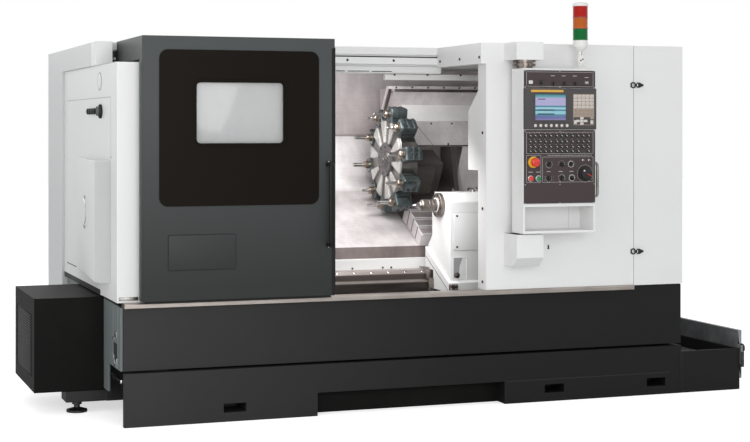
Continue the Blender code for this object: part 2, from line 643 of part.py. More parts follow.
def access_door():
    left = SEAM_X + 0.003
    leaf = block("access_door", (left, 0, CABINET_BASE), (BODY_LENGTH - 0.002, 0.02, HOUSING_TOP - 0.002), "white_paint")
    for z in (0.804, 1.7276):
        fuse(leaf, block_shape((left + 0.006, -0.014, z - 0.014), (left + 0.036, 0.01, z + 0.014)))


def pendant_brackets():
    hood = block("pendant_hood", (2.085, -0.12 - 0.03, 1.853), (2.243, -GAP, 1.948), "white_paint")
    pivot = [
        (0, PENDANT_TOP + GAP), (0.045, PENDANT_TOP + GAP), (0.045, 1.82), (0.060, 1.82), (0.060, 1.834),
        (0.045, 1.834), (0.045, 1.842), (0.060, 1.842), (0.060, 1.86), (0, 1.86),
    ]
    ring = turned_shape(pivot, 32)
    bmesh.ops.translate(ring, verts=ring.verts, vec=Vector((PIVOT_X, PIVOT_Y, 0)))
    fuse(hood, ring)
    outline = [(-0.155, 0.80), (-0.155, 0.924), (-GAP, 0.924), (-GAP, 0.75), (-0.10, 0.75)]
    bracket = prism("pendant_bracket", outline, 2.084, 2.241, "white_paint")
    pin = turned_shape([(0, 0.91), (0.045, 0.91), (0.045, PENDANT_BASE - GAP), (0, PENDANT_BASE - GAP)], 32)
    bmesh.ops.translate(pin, verts=pin.verts, vec=Vector((PIVOT_X, PIVOT_Y, 0)))
    fuse(bracket, pin)


def pendant():
    """Control pendant: housing with its shelf, face plates, display and handle."""
    chamfer = 0.05
    plan = [
        (PENDANT_LEFT, PENDANT_FRONT), (PENDANT_RIGHT, PENDANT_FRONT), (PENDANT_RIGHT, PENDANT_BACK),
        (PENDANT_LEFT + chamfer, PENDANT_BACK), (PENDANT_LEFT, PENDANT_BACK - chamfer),
    ]
    shell = prism("pendant_shell", plan, PENDANT_BASE, PENDANT_TOP, "white_paint", "Z")
    shelf_low = (PENDANT_LEFT + 0.012, PENDANT_FRONT - 0.1, 0.945)
    cut(shell, block_shape(shelf_low, (PENDANT_RIGHT - 0.012, PENDANT_BACK - 0.03, 1.0715)))
    left, right = PENDANT_LEFT + 0.003, PENDANT_RIGHT - 0.006
    front = PENDANT_FRONT - FACE_THICKNESS
    back = PENDANT_FRONT - GAP
    block("control_panel", (left, front, 1.090), (right, back, 1.4795), "panel_plastic")
    block("top_panel", (left, front, 1.7028), (right, back, 1.7958), "panel_plastic")
    block("display_unit", (left - 0.002, front - 0.005, 1.4828), (right + 0.004, back, 1.7007), "panel_plastic")
    handle = block("pendant_handle", (PENDANT_RIGHT + 0.028, -0.13, 1.111), (PENDANT_RIGHT + 0.044, -0.114, 1.313), "steel")
    for z in (1.111, 1.297):
        fuse(handle, block_shape((PENDANT_RIGHT + GAP, -0.13, z), (PENDANT_RIGHT + 0.04, -0.114, z + 0.016)))
    stop = [
        (0, 0), (0.030, 0), (0.030, 0.010), (0.016, 0.010), (0.016, 0.022), (0.0245, 0.024), (0.0245, 0.040), (0, 0.042),
    ]
    knob = place("emergency_stop", turned_shape(stop, 32), "yellow_plastic", (2.155, front - GAP, 1.309), smooth=True)
    knob.rotation_euler = (pi / 2, 0, 0)
    wheel = [(0, 0), (0.041, 0), (0.041, 0.018), (0.034, 0.026), (0, 0.026)]
    dial = place("handwheel", turned_shape(wheel, 32), "black_gloss", (2.465, front - GAP, 1.2464), smooth=True)
    dial.rotation_euler = (pi / 2, 0, 0)


def signal_tower():
    """Lamp column on its knuckle, on top of the pendant."""
    x, y = 2.493, -0.10
    base = PENDANT_TOP + GAP
    foot = [
        (0, 0), (0.045, 0), (0.045, 0.012), (0.014, 0.014), (0.014, 0.10), (0.034, 0.12), (0.041, 0.123),
        (0.041, 0.158), (0, 0.158),
    ]
    place("signal_stem", turned_shape(foot, 32), "white_plastic", (x, y, base), smooth=True)
    height = 0.061
    lamps = (("green_lamp", "green_lens"), ("amber_lamp", "amber_lens"), ("red_lamp", "red_lens"))
    for k, (name, finish) in enumerate(lamps):
        low = base + 0.158 + GAP + k * (height + GAP)
        profile = [(0, 0), (0.041, 0), (0.041, 0.006), (0.039, 0.008), (0.039, height), (0, height)]
        place(name, turned_shape(profile, 32), finish, (x, y, low), smooth=True)
    cap = [(0, 0), (0.043, 0), (0.043, 0.012), (0.036, 0.020), (0, 0.021)]
    cap_base = base + 0.158 + GAP + 3 * (height + GAP)
    place("signal_cap", turned_shape(cap, 32), "white_plastic", (x, y, cap_base), smooth=True)


clear_scene()
MACHINE = bpy.data.objects.new("machine", None)
bpy.context.collection.objects.link(MACHINE)
MACHINE.location = (-TANK_LENGTH / 2, -TANK_DEPTH / 2, 0)

coolant_tank()
chip_tray()
tray_screen()
machine_base()
levelling_feet()
chiller()
headstock_cover()
rear_housing()
header_rail()
right_cabinet()
bed_and_chamber()
chuck()
saddle()
turret()
tailstock()
sliding_door()
access_door()
pendant_brackets()
pendant()
signal_tower()
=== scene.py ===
"""Looks of a slant-bed CNC lathe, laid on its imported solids.

Metres, +Z up. Places are given from the lower left front corner of the coolant
tank, as the maker measures them, and piece() moves them into the solids' frame.
A form is a pair (points, faces): an (n, 3) array and a list of index tuples.
"""
import json
from math import cos, pi, radians, sin, tan

import bmesh
import bpy
import numpy as np
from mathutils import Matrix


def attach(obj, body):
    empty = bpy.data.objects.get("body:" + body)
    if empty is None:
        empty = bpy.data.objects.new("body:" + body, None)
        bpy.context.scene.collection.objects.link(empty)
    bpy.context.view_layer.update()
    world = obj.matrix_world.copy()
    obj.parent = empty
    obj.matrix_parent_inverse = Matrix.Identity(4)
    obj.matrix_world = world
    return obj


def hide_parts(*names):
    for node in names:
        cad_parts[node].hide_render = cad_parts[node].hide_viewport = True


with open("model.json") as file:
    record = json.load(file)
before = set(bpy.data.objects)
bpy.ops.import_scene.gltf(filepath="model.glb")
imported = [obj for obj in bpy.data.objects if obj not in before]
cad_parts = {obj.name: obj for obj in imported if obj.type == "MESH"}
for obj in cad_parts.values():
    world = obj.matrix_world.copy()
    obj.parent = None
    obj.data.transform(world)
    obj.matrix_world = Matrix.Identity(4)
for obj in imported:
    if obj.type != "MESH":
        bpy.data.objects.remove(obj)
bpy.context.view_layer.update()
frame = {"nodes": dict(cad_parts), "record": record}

# The tank's lower left front corner, seen from the solids' origin
CORNER = np.array([-1.595, -0.22, 0.0])

# Named directions: rows are the form's own right, up and outward
FRONT = np.array([[1, 0, 0], [0, 0, 1], [0, -1, 0]], float)
LEFT = np.array([[0, -1, 0], [0, 0, 1], [-1, 0, 0]], float)
RIGHT = np.array([[0, 1, 0], [0, 0, 1], [1, 0, 0]], float)
TOP = np.array([[1, 0, 0], [0, 1, 0], [0, 0, 1]], float)
SLOPE = radians(28.4)
ON_SLIDE = np.array([[1, 0, 0], [0, cos(SLOPE), sin(SLOPE)], [0, -sin(SLOPE), cos(SLOPE)]], float)

# Main lines of the machine
DOOR_FACE = -0.05
PANEL_FACE = -0.2
PLATE_FACE = -0.2006
DISPLAY_FACE = -0.2053
SCREEN_TOP = DISPLAY_FACE - 0.0017
KEY_SEAT = DISPLAY_FACE - 0.0015
KEY_TOP = DISPLAY_FACE - 0.0037
FUNCTION_KEY = 0.0036
PIVOT = np.array([2.16, -0.09, 0])
WHEEL = np.array([2.465, PANEL_FACE, 1.2464])
SPINDLE = np.array([0.8, 0.58, 1.048])
SLIDE_REACH = 0.528
TURRET = SPINDLE + [1.02, SLIDE_REACH * cos(SLOPE), SLIDE_REACH * sin(SLOPE)]
HUB = TURRET * [0, 1, 1]


# Shapes

def moved(form, at=(0, 0, 0), facing=TOP):
    """Turns a form's right, up and outward into a named direction and sets it at a place."""
    points, faces = form
    return points @ facing + np.asarray(at, float), faces


def joined(forms):
    """Several forms as one: points stacked, face numbers pushed along."""
    points, faces, start = [], [], 0
    for some, ring in forms:
        points.append(some)
        faces += [tuple(int(k) + start for k in face) for face in ring]
        start += len(some)
    return np.vstack(points), faces


def skin(rings, closed_ends=True):
    """Joins equal closed rings, one after another, with quads, and closes both ends with one face."""
    rings = np.asarray(rings, float)
    count, around = rings.shape[:2]
    k = np.arange(around)
    n = (k + 1) % around
    base = np.arange(count - 1)[:, None] * around
    quads = np.stack([base + k, base + n, base + around + n, base + around + k], axis=-1).reshape(-1, 4)
    faces = [tuple(q) for q in quads.tolist()]
    if closed_ends:
        faces.append(tuple(range(around - 1, -1, -1)))
        faces.append(tuple(range((count - 1) * around, count * around)))
    return rings.reshape(-1, 3), faces


def closed(rings):
    """Joins rings with quads like skin(), and the last ring with the first."""
    count = len(rings) * len(rings[0])
    points, faces = skin(rings + [rings[0]], closed_ends=False)
    return points[:count], [tuple(k - count if k >= count else k for k in face) for face in faces]


def rounded(width, height, radius, steps=5):
    """Rounded rectangle round the middle: four quarter circles joined by straight sides."""
    radius = max(min(radius, width / 2 - 1e-5, height / 2 - 1e-5), 1e-5)
    turn = np.linspace(0, pi / 2, steps + 1)
    arc = np.stack([np.cos(turn), np.sin(turn)], axis=-1) * radius
    corners = [(1, 1), (-1, 1), (-1, -1), (1, -1)]
    rows = []
    for k, (a, b) in enumerate(corners):
        spin = np.array([[cos(k * pi / 2), sin(k * pi / 2)], [-sin(k * pi / 2), cos(k * pi / 2)]])
        rows.append(arc @ spin + [a * (width / 2 - radius), b * (height / 2 - radius)])
    return np.vstack(rows)


def plate(width, height, depth, radius=0.001, bevel=0.0006, steps=5):
    """Rounded slab: the outline rises to the depth and pulls in by the bevel on a quarter circle."""
    bevel = min(bevel, depth * 0.9, width / 2.2, height / 2.2)
    rings = [np.c_[rounded(width, height, radius, steps), np.zeros(4 * (steps + 1))]]
    for turn in np.linspace(0, pi / 2, 4):
        inset = bevel * (1 - cos(turn))
        ring = rounded(width - 2 * inset, height - 2 * inset, max(radius - inset, 2e-5), steps)
        rings.append(np.c_[ring, np.full(len(ring), depth - bevel + bevel * sin(turn))])
    return skin(rings)


def frame_plate(width, height, band, depth, radius, bevel=0.0006, steps=5):
    """Rounded picture frame: outer and inner outlines joined front and back, edges eased."""
    inner_w, inner_h, inner_r = width - 2 * band, height - 2 * band, max(radius - band, 0.0008)
    loops = [
        (width, height, radius, 0), (width, height, radius, depth - bevel),
        (width - 2 * bevel, height - 2 * bevel, radius - bevel, depth),
        (inner_w + 2 * bevel, inner_h + 2 * bevel, inner_r + bevel, depth),
        (inner_w, inner_h, inner_r, depth - bevel), (inner_w, inner_h, inner_r, 0),
    ]
    return closed([np.c_[rounded(w, h, r, steps), np.full(4 * (steps + 1), z)] for w, h, r, z in loops])


def turned(profile, sides=32, closed_ends=True):
    """Revolves (radius, height) pairs about the outward axis; a profile that is a ring needs no ends."""
    turn = np.arange(sides) * 2 * pi / sides
    ring = np.stack([np.cos(turn), np.sin(turn)], axis=-1)
    rings = [np.c_[ring * max(radius, 2e-5), np.full(sides, height)] for radius, height in profile]
    return skin(rings, closed_ends)


def prism(outline, depth):
    """A closed outline (right, up) pushed outward by the depth."""
    flat = np.asarray(outline, float)
    rings = [np.c_[flat, np.full(len(flat), level)] for level in (0.0, depth)]
    return skin(rings)


def across(outline, start, end):
    """A closed outline in (y, z) carried along X between two places."""
    return skin([[(x, y, z) for y, z in outline] for x in (start, end)])


def box(low, high, bevel=0.001):
    """Eased block between two corners, its bevel on the outward (upper) edges."""
    low, high = np.asarray(low, float), np.asarray(high, float)
    size = high - low
    middle = (low + high) / 2
    return moved(plate(size[0], size[1], size[2], bevel, bevel, 2), (middle[0], middle[1], low[2]))


def tube(path, radius, sides=16):
    """Round bar carried along a path, each ring square to the path's run."""
    path = np.asarray(path, float)
    run = np.gradient(path, axis=0)
    run /= np.linalg.norm(run, axis=1)[:, None]
    side = np.cross(run, [0.31, 0.22, 0.93])
    side /= np.linalg.norm(side, axis=1)[:, None]
    other = np.cross(run, side)
    turn = np.arange(sides) * 2 * pi / sides
    radius = np.broadcast_to(np.asarray(radius, float), len(path))[:, None, None]
    ring = side[:, None, :] * np.cos(turn)[None, :, None] + other[:, None, :] * np.sin(turn)[None, :, None]
    return skin(path[:, None, :] + ring * radius)


def bent(corners, radius, steps=6):
    """A path through corners whose bends are eased by quarter-like curves."""
    corners = [np.asarray(c, float) for c in corners]
    path = [corners[0]]
    for before, here, after in zip(corners, corners[1:], corners[2:]):
        a = here + (before - here) / np.linalg.norm(before - here) * radius
        b = here + (after - here) / np.linalg.norm(after - here) * radius
        t = np.linspace(0, 1, steps + 1)[:, None]
        path += list((1 - t) ** 2 * a + 2 * t * (1 - t) * here + t ** 2 * b)
    path.append(corners[-1])
    return np.array(path)


def copies(form, places):
    """The same form at many places, laid out by adding whole arrays."""
    points, faces = form
    places = np.asarray(places, float)
    stacked = (points[None] + places[:, None]).reshape(-1, 3)
    size = len(points)
    rings = [tuple(k + size * n for k in face) for n in range(len(places)) for face in faces]
    return stacked, rings


def spun(form, angles, centre, axis="X"):
    """The same form turned about a centre to each angle."""
    points, faces = form
    made = []
    for turn in angles:
        c, s = cos(turn), sin(turn)
        wheel = {
            "X": [[1, 0, 0], [0, c, s], [0, -s, c]],
            "Y": [[c, 0, s], [0, 1, 0], [-s, 0, c]],
            "Z": [[c, s, 0], [-s, c, 0], [0, 0, 1]],
        }[axis]
        made.append(((points - centre) @ np.array(wheel) + centre, faces))
    return joined(made)


def screw(radius=0.004, height=0.0022, sides=16):
    """Button-headed screw with a hexagon socket: a low dome that dips in the middle."""
    dome = [(radius, 0), (radius, height * 0.4), (radius * 0.85, height * 0.85), (radius * 0.5, height),
            (radius * 0.45, height * 0.35), (radius * 0.05, height * 0.3)]
    return turned(dome, sides)


def screw_row(places, radius, height, sides=12, facing=FRONT):
    """The same screw at several places."""
    return [moved(screw(radius, height, sides), at, facing) for at in places]


# Pieces

def piece(name, forms, finish, body="machine", smooth=35, replaces=None):
    """One object from forms, with its finish and the body it rides on, in place of a node if one is named."""
    points, faces = joined(forms if isinstance(forms, list) else [forms])
    mesh = bpy.data.meshes.new(name)
    mesh.from_pydata((points + CORNER).tolist(), [], faces)
    mesh.validate()
    shape = bmesh.new()
    shape.from_mesh(mesh)
    bmesh.ops.recalc_face_normals(shape, faces=shape.faces)
    shape.to_mesh(mesh)
    shape.free()
    mesh.shade_smooth()
    mesh.set_sharp_from_angle(angle=radians(smooth))
    mesh.materials.append(finish)
    thing = bpy.data.objects.new(name, mesh)
    bpy.context.scene.collection.objects.link(thing)
    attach(thing, body)
    if replaces:
        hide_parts(replaces)


def body_of(node):
    """The body that a node rides on, as the record says."""
    return next(body for body, nodes in frame["record"]["behaviour"]["bodies"].items() if node in nodes)


def eased(node, finish, width=0.0025, segments=2, angle=30):
    """Stands for a node with the same shape, its sheet-metal edges eased by a small bevel."""
    shape = bmesh.new()
    shape.from_mesh(frame["nodes"][node].data)
    bmesh.ops.remove_doubles(shape, verts=shape.verts, dist=1e-5)
    bmesh.ops.dissolve_limit(shape, angle_limit=radians(0.5), verts=shape.verts, edges=shape.edges)
    mesh = bpy.data.meshes.new(node + "_eased")
    shape.to_mesh(mesh)
    shape.free()
    mesh.materials.clear()
    mesh.materials.append(finish)
    thing = bpy.data.objects.new(node + "_eased", mesh)
    bpy.context.scene.collection.objects.link(thing)
    bevel = thing.modifiers.new("Eased edges", "BEVEL")
    bevel.width = width
    bevel.segments = segments
    bevel.limit_method = "ANGLE"
    bevel.angle_limit = radians(angle)
    weighted = thing.modifiers.new("Flat faces", "WEIGHTED_NORMAL")
    weighted.mode = "FACE_AREA"
    weighted.weight = 100
    mesh.shade_smooth()
    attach(thing, body_of(node))
    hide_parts(node)
    return thing


def finished(node, finish):
    """Keeps a node's own mesh and gives it its finish."""
    mesh = frame["nodes"][node].data
    mesh.materials.clear()
    mesh.materials.append(finish)
    return frame["nodes"][node]


# Finishes: shared groups give masks, colours and heights, the shader stays in each material

def group(name, inputs, outputs):
    """A shader node group with named sockets: (name, kind, value) in, (name, kind) out."""
    made = bpy.data.node_groups.new(name, "ShaderNodeTree")
    for label, kind, value in inputs:
        socket = made.interface.new_socket(label, in_out="INPUT", socket_type="NodeSocket" + kind)
        if value is not None:
            socket.default_value = value
    for label, kind in outputs:
        made.interface.new_socket(label, in_out="OUTPUT", socket_type="NodeSocket" + kind)
    return made, made.nodes.new("NodeGroupInput"), made.nodes.new("NodeGroupOutput")


def noise(tree, vector, scale, detail=3, roughness=0.55):
    made = tree.nodes.new("ShaderNodeTexNoise")
    tree.links.new(vector, made.inputs["Vector"])
    made.inputs["Detail"].default_value = detail
    made.inputs["Roughness"].default_value = roughness
    if isinstance(scale, (int, float)):
        made.inputs["Scale"].default_value = scale
    else:
        tree.links.new(scale, made.inputs["Scale"])
    return made.outputs["Fac"]


def stretched(tree, vector, scales):
    made = tree.nodes.new("ShaderNodeMapping")
    made.inputs["Scale"].default_value = scales
    tree.links.new(vector, made.inputs["Vector"])
    return made.outputs["Vector"]


def ramp(tree, value, low, high, dark=0.0, light=1.0):
    made = tree.nodes.new("ShaderNodeMapRange")
    tree.links.new(value, made.inputs["Value"])
    for label, number in (("From Min", low), ("From Max", high), ("To Min", dark), ("To Max", light)):
        if isinstance(number, (int, float)):
            made.inputs[label].default_value = number
        else:
            tree.links.new(number, made.inputs[label])
    return made.outputs["Result"]


def sums(tree, operation, a, b):
    made = tree.nodes.new("ShaderNodeMath")
    made.operation = operation
    for socket, value in zip(made.inputs, (a, b)):
        if isinstance(value, (int, float)):
            socket.default_value = value
        else:
            tree.links.new(value, socket)
    return made.outputs[0]


def blended(tree, factor, a, b, kind="MIX"):
    made = tree.nodes.new("ShaderNodeMix")
    made.data_type = "RGBA"
    made.blend_type = kind
    for label, value in (("Factor", factor), ("A", a), ("B", b)):
        socket = next(s for s in made.inputs if s.name == label and s.enabled)
        if isinstance(value, (int, float)):
            socket.default_value = value
        elif isinstance(value, tuple):
            socket.default_value = (*value, 1.0)
        else:
            tree.links.new(value, socket)
    return next(s for s in made.outputs if s.enabled)


def paint_group():
    """Sprayed enamel: slow tone drift, fine speckle, faint scuffs and orange-peel height."""
    made, given, out = group(
        "sprayed_enamel",
        [("Vector", "Vector", None), ("Tone", "Color", (0.8, 0.8, 0.8, 1)), ("Drift", "Float", 0.05),
         ("Roughness", "Float", 0.4), ("Peel", "Float", 60.0), ("Grime", "Float", 0.0)],
        [("Color", "Color"), ("Roughness", "Float"), ("Height", "Float")])
    where = given.outputs["Vector"]
    slow = noise(made, where, 1.3, 3, 0.6)
    fine = noise(made, where, 420.0, 2, 0.5)
    peel = noise(made, where, given.outputs["Peel"], 3, 0.6)
    scuff = noise(made, stretched(made, where, (3.0, 3.0, 40.0)), 9.0, 5, 0.75)
    scuff_mask = ramp(made, scuff, 0.62, 0.78)
    drift = sums(made, "MULTIPLY", sums(made, "SUBTRACT", slow, 0.5), given.outputs["Drift"])
    speck = sums(made, "MULTIPLY", sums(made, "SUBTRACT", fine, 0.5), 0.05)
    level = sums(made, "ADD", sums(made, "ADD", drift, speck), 1.0)
    toned = made.nodes.new("ShaderNodeVectorMath")
    toned.operation = "SCALE"
    made.links.new(given.outputs["Tone"], toned.inputs[0])
    made.links.new(level, toned.inputs["Scale"])
    grime = ramp(made, noise(made, where, 3.2, 6, 0.7), 0.45, 0.72)
    dirty = sums(made, "MULTIPLY", grime, given.outputs["Grime"])
    coloured = blended(made, dirty, toned.outputs[0], (0.16, 0.14, 0.12))
    made.links.new(coloured, out.inputs["Color"])
    rough = sums(made, "ADD", given.outputs["Roughness"], sums(made, "MULTIPLY", scuff_mask, 0.08))
    rough = sums(made, "ADD", rough, sums(made, "MULTIPLY", sums(made, "SUBTRACT", slow, 0.5), 0.12))
    made.links.new(rough, out.inputs["Roughness"])
    height = sums(made, "ADD", peel, sums(made, "MULTIPLY", fine, 0.25))
    made.links.new(height, out.inputs["Height"])
    return made


def brushed_group():
    """Brushed or ground metal: long fine strokes along one way, soft mottling and smears."""
    made, given, out = group(
        "brushed_metal",
        [("Vector", "Vector", None), ("Light", "Color", (0.7, 0.7, 0.7, 1)),
         ("Dark", "Color", (0.4, 0.4, 0.4, 1)),
         ("Stroke", "Vector", (1.0, 60.0, 60.0)), ("Mottle", "Float", 4.0), ("Contrast", "Float", 0.6),
         ("Roughness", "Float", 0.3)],
        [("Color", "Color"), ("Roughness", "Float"), ("Height", "Float")])
    where = given.outputs["Vector"]
    along = made.nodes.new("ShaderNodeVectorMath")
    along.operation = "MULTIPLY"
    made.links.new(where, along.inputs[0])
    made.links.new(given.outputs["Stroke"], along.inputs[1])
    stroke = noise(made, along.outputs[0], 8.0, 4, 0.7)
    cloud = noise(made, where, given.outputs["Mottle"], 5, 0.62)
    smear = noise(made, stretched(made, where, (1.0, 0.6, 0.25)), 6.0, 6, 0.7)
    mask = sums(made, "ADD", sums(made, "MULTIPLY", ramp(made, cloud, 0.3, 0.7), 0.6),
                sums(made, "MULTIPLY", ramp(made, smear, 0.35, 0.68), 0.4))
    mask = sums(made, "ADD", sums(made, "MULTIPLY", mask, given.outputs["Contrast"]),
                sums(made, "MULTIPLY", stroke, 0.35))
    made.links.new(blended(made, mask, given.outputs["Dark"], given.outputs["Light"]), out.inputs["Color"])
    rough = sums(made, "ADD", given.outputs["Roughness"],
                 sums(made, "MULTIPLY", sums(made, "SUBTRACT", stroke, 0.5), 0.25))
    rough = sums(made, "ADD", rough, sums(made, "MULTIPLY", sums(made, "SUBTRACT", cloud, 0.5), 0.2))
    made.links.new(rough, out.inputs["Roughness"])
    made.links.new(stroke, out.inputs["Height"])
    return made


ENAMEL = paint_group()
BRUSHED = brushed_group()


def blank(name):
    """A new material with its Principled shader and object coordinates."""
    made = bpy.data.materials.new(name)
    made.use_nodes = True
    tree = made.node_tree
    where = tree.nodes.new("ShaderNodeTexCoord").outputs["Object"]
    return made, tree, tree.nodes["Principled BSDF"], where


def bumped(tree, shader, height, distance, strength=0.5):
    bump = tree.nodes.new("ShaderNodeBump")
    bump.inputs["Distance"].default_value = distance
    bump.inputs["Strength"].default_value = strength
    tree.links.new(height, bump.inputs["Height"])
    tree.links.new(bump.outputs["Normal"], shader.inputs["Normal"])


def enamel(name, tone, roughness=0.4, drift=0.06, peel=90.0, grime=0.0, metallic=0.0, coat=0.0, bump=0.0004,
           specular=0.35, shade_ramp=None):
    """Sprayed or moulded finish; the ramp option (axis, from, to, level) paints light and shade into the
    tone, lowering it to that level on the way.
    """
    made, tree, shader, where = blank(name)
    node = tree.nodes.new("ShaderNodeGroup")
    node.node_tree = ENAMEL
    tree.links.new(where, node.inputs["Vector"])
    for label, value in (("Tone", (*tone, 1.0)), ("Drift", drift), ("Roughness", roughness), ("Peel", peel),
                         ("Grime", grime)):
        node.inputs[label].default_value = value
    colour = node.outputs["Color"]
    if shade_ramp:
        axis, near, far, level = shade_ramp
        split = tree.nodes.new("ShaderNodeSeparateXYZ")
        tree.links.new(where, split.inputs[0])
        shade_share = ramp(tree, split.outputs[axis], near, far, 0.0, 1.0)
        colour = blended(tree, shade_share, colour, tuple(c * level for c in tone))
    tree.links.new(colour, shader.inputs["Base Color"])
    tree.links.new(node.outputs["Roughness"], shader.inputs["Roughness"])
    shader.inputs["Metallic"].default_value = metallic
    shader.inputs["Coat Weight"].default_value = coat
    shader.inputs["Specular IOR Level"].default_value = specular
    bumped(tree, shader, node.outputs["Height"], bump)
    return made


def metal(name, light, dark, stroke=(1.0, 60.0, 60.0), roughness=0.3, mottle=4.0, contrast=0.6, metallic=1.0,
          bump=0.0002):
    made, tree, shader, where = blank(name)
    node = tree.nodes.new("ShaderNodeGroup")
    node.node_tree = BRUSHED
    tree.links.new(where, node.inputs["Vector"])
    settings = (("Light", (*light, 1.0)), ("Dark", (*dark, 1.0)), ("Stroke", stroke), ("Mottle", mottle),
                ("Contrast", contrast), ("Roughness", roughness))
    for label, value in settings:
        node.inputs[label].default_value = value
    tree.links.new(node.outputs["Color"], shader.inputs["Base Color"])
    tree.links.new(node.outputs["Roughness"], shader.inputs["Roughness"])
    shader.inputs["Metallic"].default_value = metallic
    bumped(tree, shader, node.outputs["Height"], bump)
    return made


WHITE = enamel("white_enamel", (0.76, 0.76, 0.755), 0.42, 0.03, 110.0, 0.02)
TAILSTOCK_WHITE = enamel("tailstock_enamel", (0.92, 0.92, 0.915), 0.5, 0.03, 110.0, 0.02)
# Darker copy of the white: painted shade on the side door's folded front
FOLD_SHADE = enamel("fold_painted_shade", (0.5, 0.5, 0.5), 0.5, 0.03, 110.0, 0.02)
HOUSING_WHITE = enamel("housing_enamel", (0.62, 0.625, 0.625), 0.45, 0.03, 110.0, 0.02)
# The door's tone is painted darker towards the bottom: painted shade, as the light falls from above
DOOR_GREY = enamel("door_charcoal", (0.0535, 0.059, 0.059), 0.45, 0.1, 150.0, 0.01, specular=0.22,
                   shade_ramp=("Z", 1.6, 0.7, 0.38))
# The base's tone is painted lighter at its left end than to the right: a painted reflection of the light on
# the left
BASE_GREY = enamel("base_charcoal", (0.0288, 0.0288, 0.0285), 0.48, 0.25, 120.0, 0.03, specular=0.18,
                   shade_ramp=("X", -1.5, 0.2, 0.3))
CHILLER_BLACK = enamel("cooler_black", (0.0062, 0.0062, 0.0058), 0.6, 0.2, 200.0, 0.02, specular=0.07)
PRIMER_GREY = enamel("side_grey", (0.15, 0.17, 0.17), 0.55, 0.15, 120.0, 0.08)
FILM = enamel("black_film", (0.0082, 0.0062, 0.0045), 0.34, 0.1, 30.0, 0.0, bump=0.0001, specular=0.04)
BLACK_PLASTIC = enamel("black_plastic", (0.012, 0.012, 0.012), 0.5, 0.15, 300.0, 0.0, bump=0.0002,
                       specular=0.3)
RUBBER = enamel("black_rubber", (0.01, 0.01, 0.01), 0.75, 0.2, 240.0, 0.05, specular=0.2)
PANEL_BROWN = enamel("panel_overlay", (0.052, 0.038, 0.04), 0.5, 0.08, 400.0, 0.0, bump=0.0001, specular=0.25)
STAINLESS = metal("lining_stainless", (0.82, 0.78, 0.775), (0.36, 0.325, 0.325), (0.6, 1.4, 14.0), 0.38, 3.5,
                  0.85, 0.25)
SKIRT = metal("skirt_mottled", (0.24, 0.195, 0.185), (0.07, 0.052, 0.05), (1.0, 1.0, 24.0), 0.42, 7.0, 0.9,
              0.25)
COVER_EDGE = metal("cover_edge", (0.13, 0.105, 0.098), (0.045, 0.034, 0.032), (1.0, 20.0, 20.0), 0.45, 20.0,
                   0.8, 0.3)
SILL_STEEL = metal("sill_stainless", (0.46, 0.42, 0.385), (0.27, 0.235, 0.215), (0.8, 60.0, 60.0), 0.32, 6.0,
                   0.6, 0.85)
GROUND = metal("ground_steel", (0.66, 0.64, 0.62), (0.34, 0.33, 0.33), (1.0, 50.0, 50.0), 0.22, 12.0, 0.5)
TURRET_STEEL = metal("turret_steel", (0.27, 0.26, 0.25), (0.07, 0.068, 0.065), (20.0, 30.0, 30.0), 0.34, 16.0,
                     0.8)
HOLDER_STEEL = metal("holder_steel", (0.125, 0.15, 0.152), (0.014, 0.018, 0.019), (30.0, 30.0, 30.0), 0.3,
                     26.0, 1.0, 0.7)
BRONZE = metal("bar_bronze", (0.48, 0.4, 0.33), (0.12, 0.09, 0.07), (10.0, 60.0, 60.0), 0.3, 40.0, 0.7)
DARK_CASTING = enamel("dark_casting", (0.07, 0.062, 0.058), 0.55, 0.35, 200.0, 0.15, metallic=0.2)


def by_height(tree, where, table, span=None, kind="LINEAR"):
    """Tones from rows of (height, tone), or of (share of the span, tone) where a span of heights is given."""
    low, high = span or (table[0][0], table[-1][0])
    split = tree.nodes.new("ShaderNodeSeparateXYZ")
    tree.links.new(where, split.inputs[0])
    bands = tree.nodes.new("ShaderNodeValToRGB")
    bands.color_ramp.interpolation = kind
    stops = bands.color_ramp.elements
    while len(stops) < len(table):
        stops.new(0.5)
    for stop, (place, tone) in zip(stops, table):
        stop.position = place if span else (place - low) / (high - low)
        stop.color = (*tone, 1.0)
    tree.links.new(ramp(tree, split.outputs["Z"], low, high), bands.inputs["Fac"])
    return bands.outputs["Color"]


def rail_finish():
    """Oiled rail, toned by height as painted light and shade: dull brown above, a dark front, a light ledge
    and a near-black lower face; oil smears over it.
    """
    made, tree, shader, where = blank("rail_oil_and_painted_shade")
    table = (
        (0.54, (0.016, 0.014, 0.013)), (0.593, (0.022, 0.018, 0.016)), (0.599, (0.06, 0.05, 0.045)),
        (0.6035, (0.3, 0.27, 0.25)), (0.612, (0.26, 0.23, 0.21)), (0.616, (0.06, 0.046, 0.042)),
        (0.644, (0.085, 0.066, 0.06)), (0.649, (0.3, 0.255, 0.24)), (0.668, (0.38, 0.33, 0.31)),
    )
    smear = noise(tree, stretched(tree, where, (0.5, 3.0, 3.0)), 6.0, 5, 0.65)
    toned = blended(tree, ramp(tree, smear, 0.35, 0.7, 0.0, 0.55), by_height(tree, where, table),
                    (0.09, 0.07, 0.062))
    tree.links.new(toned, shader.inputs["Base Color"])
    tree.links.new(ramp(tree, smear, 0.3, 0.7, 0.3, 0.5), shader.inputs["Roughness"])
    shader.inputs["Metallic"].default_value = 0.35
    bumped(tree, shader, smear, 0.0003)
    return made


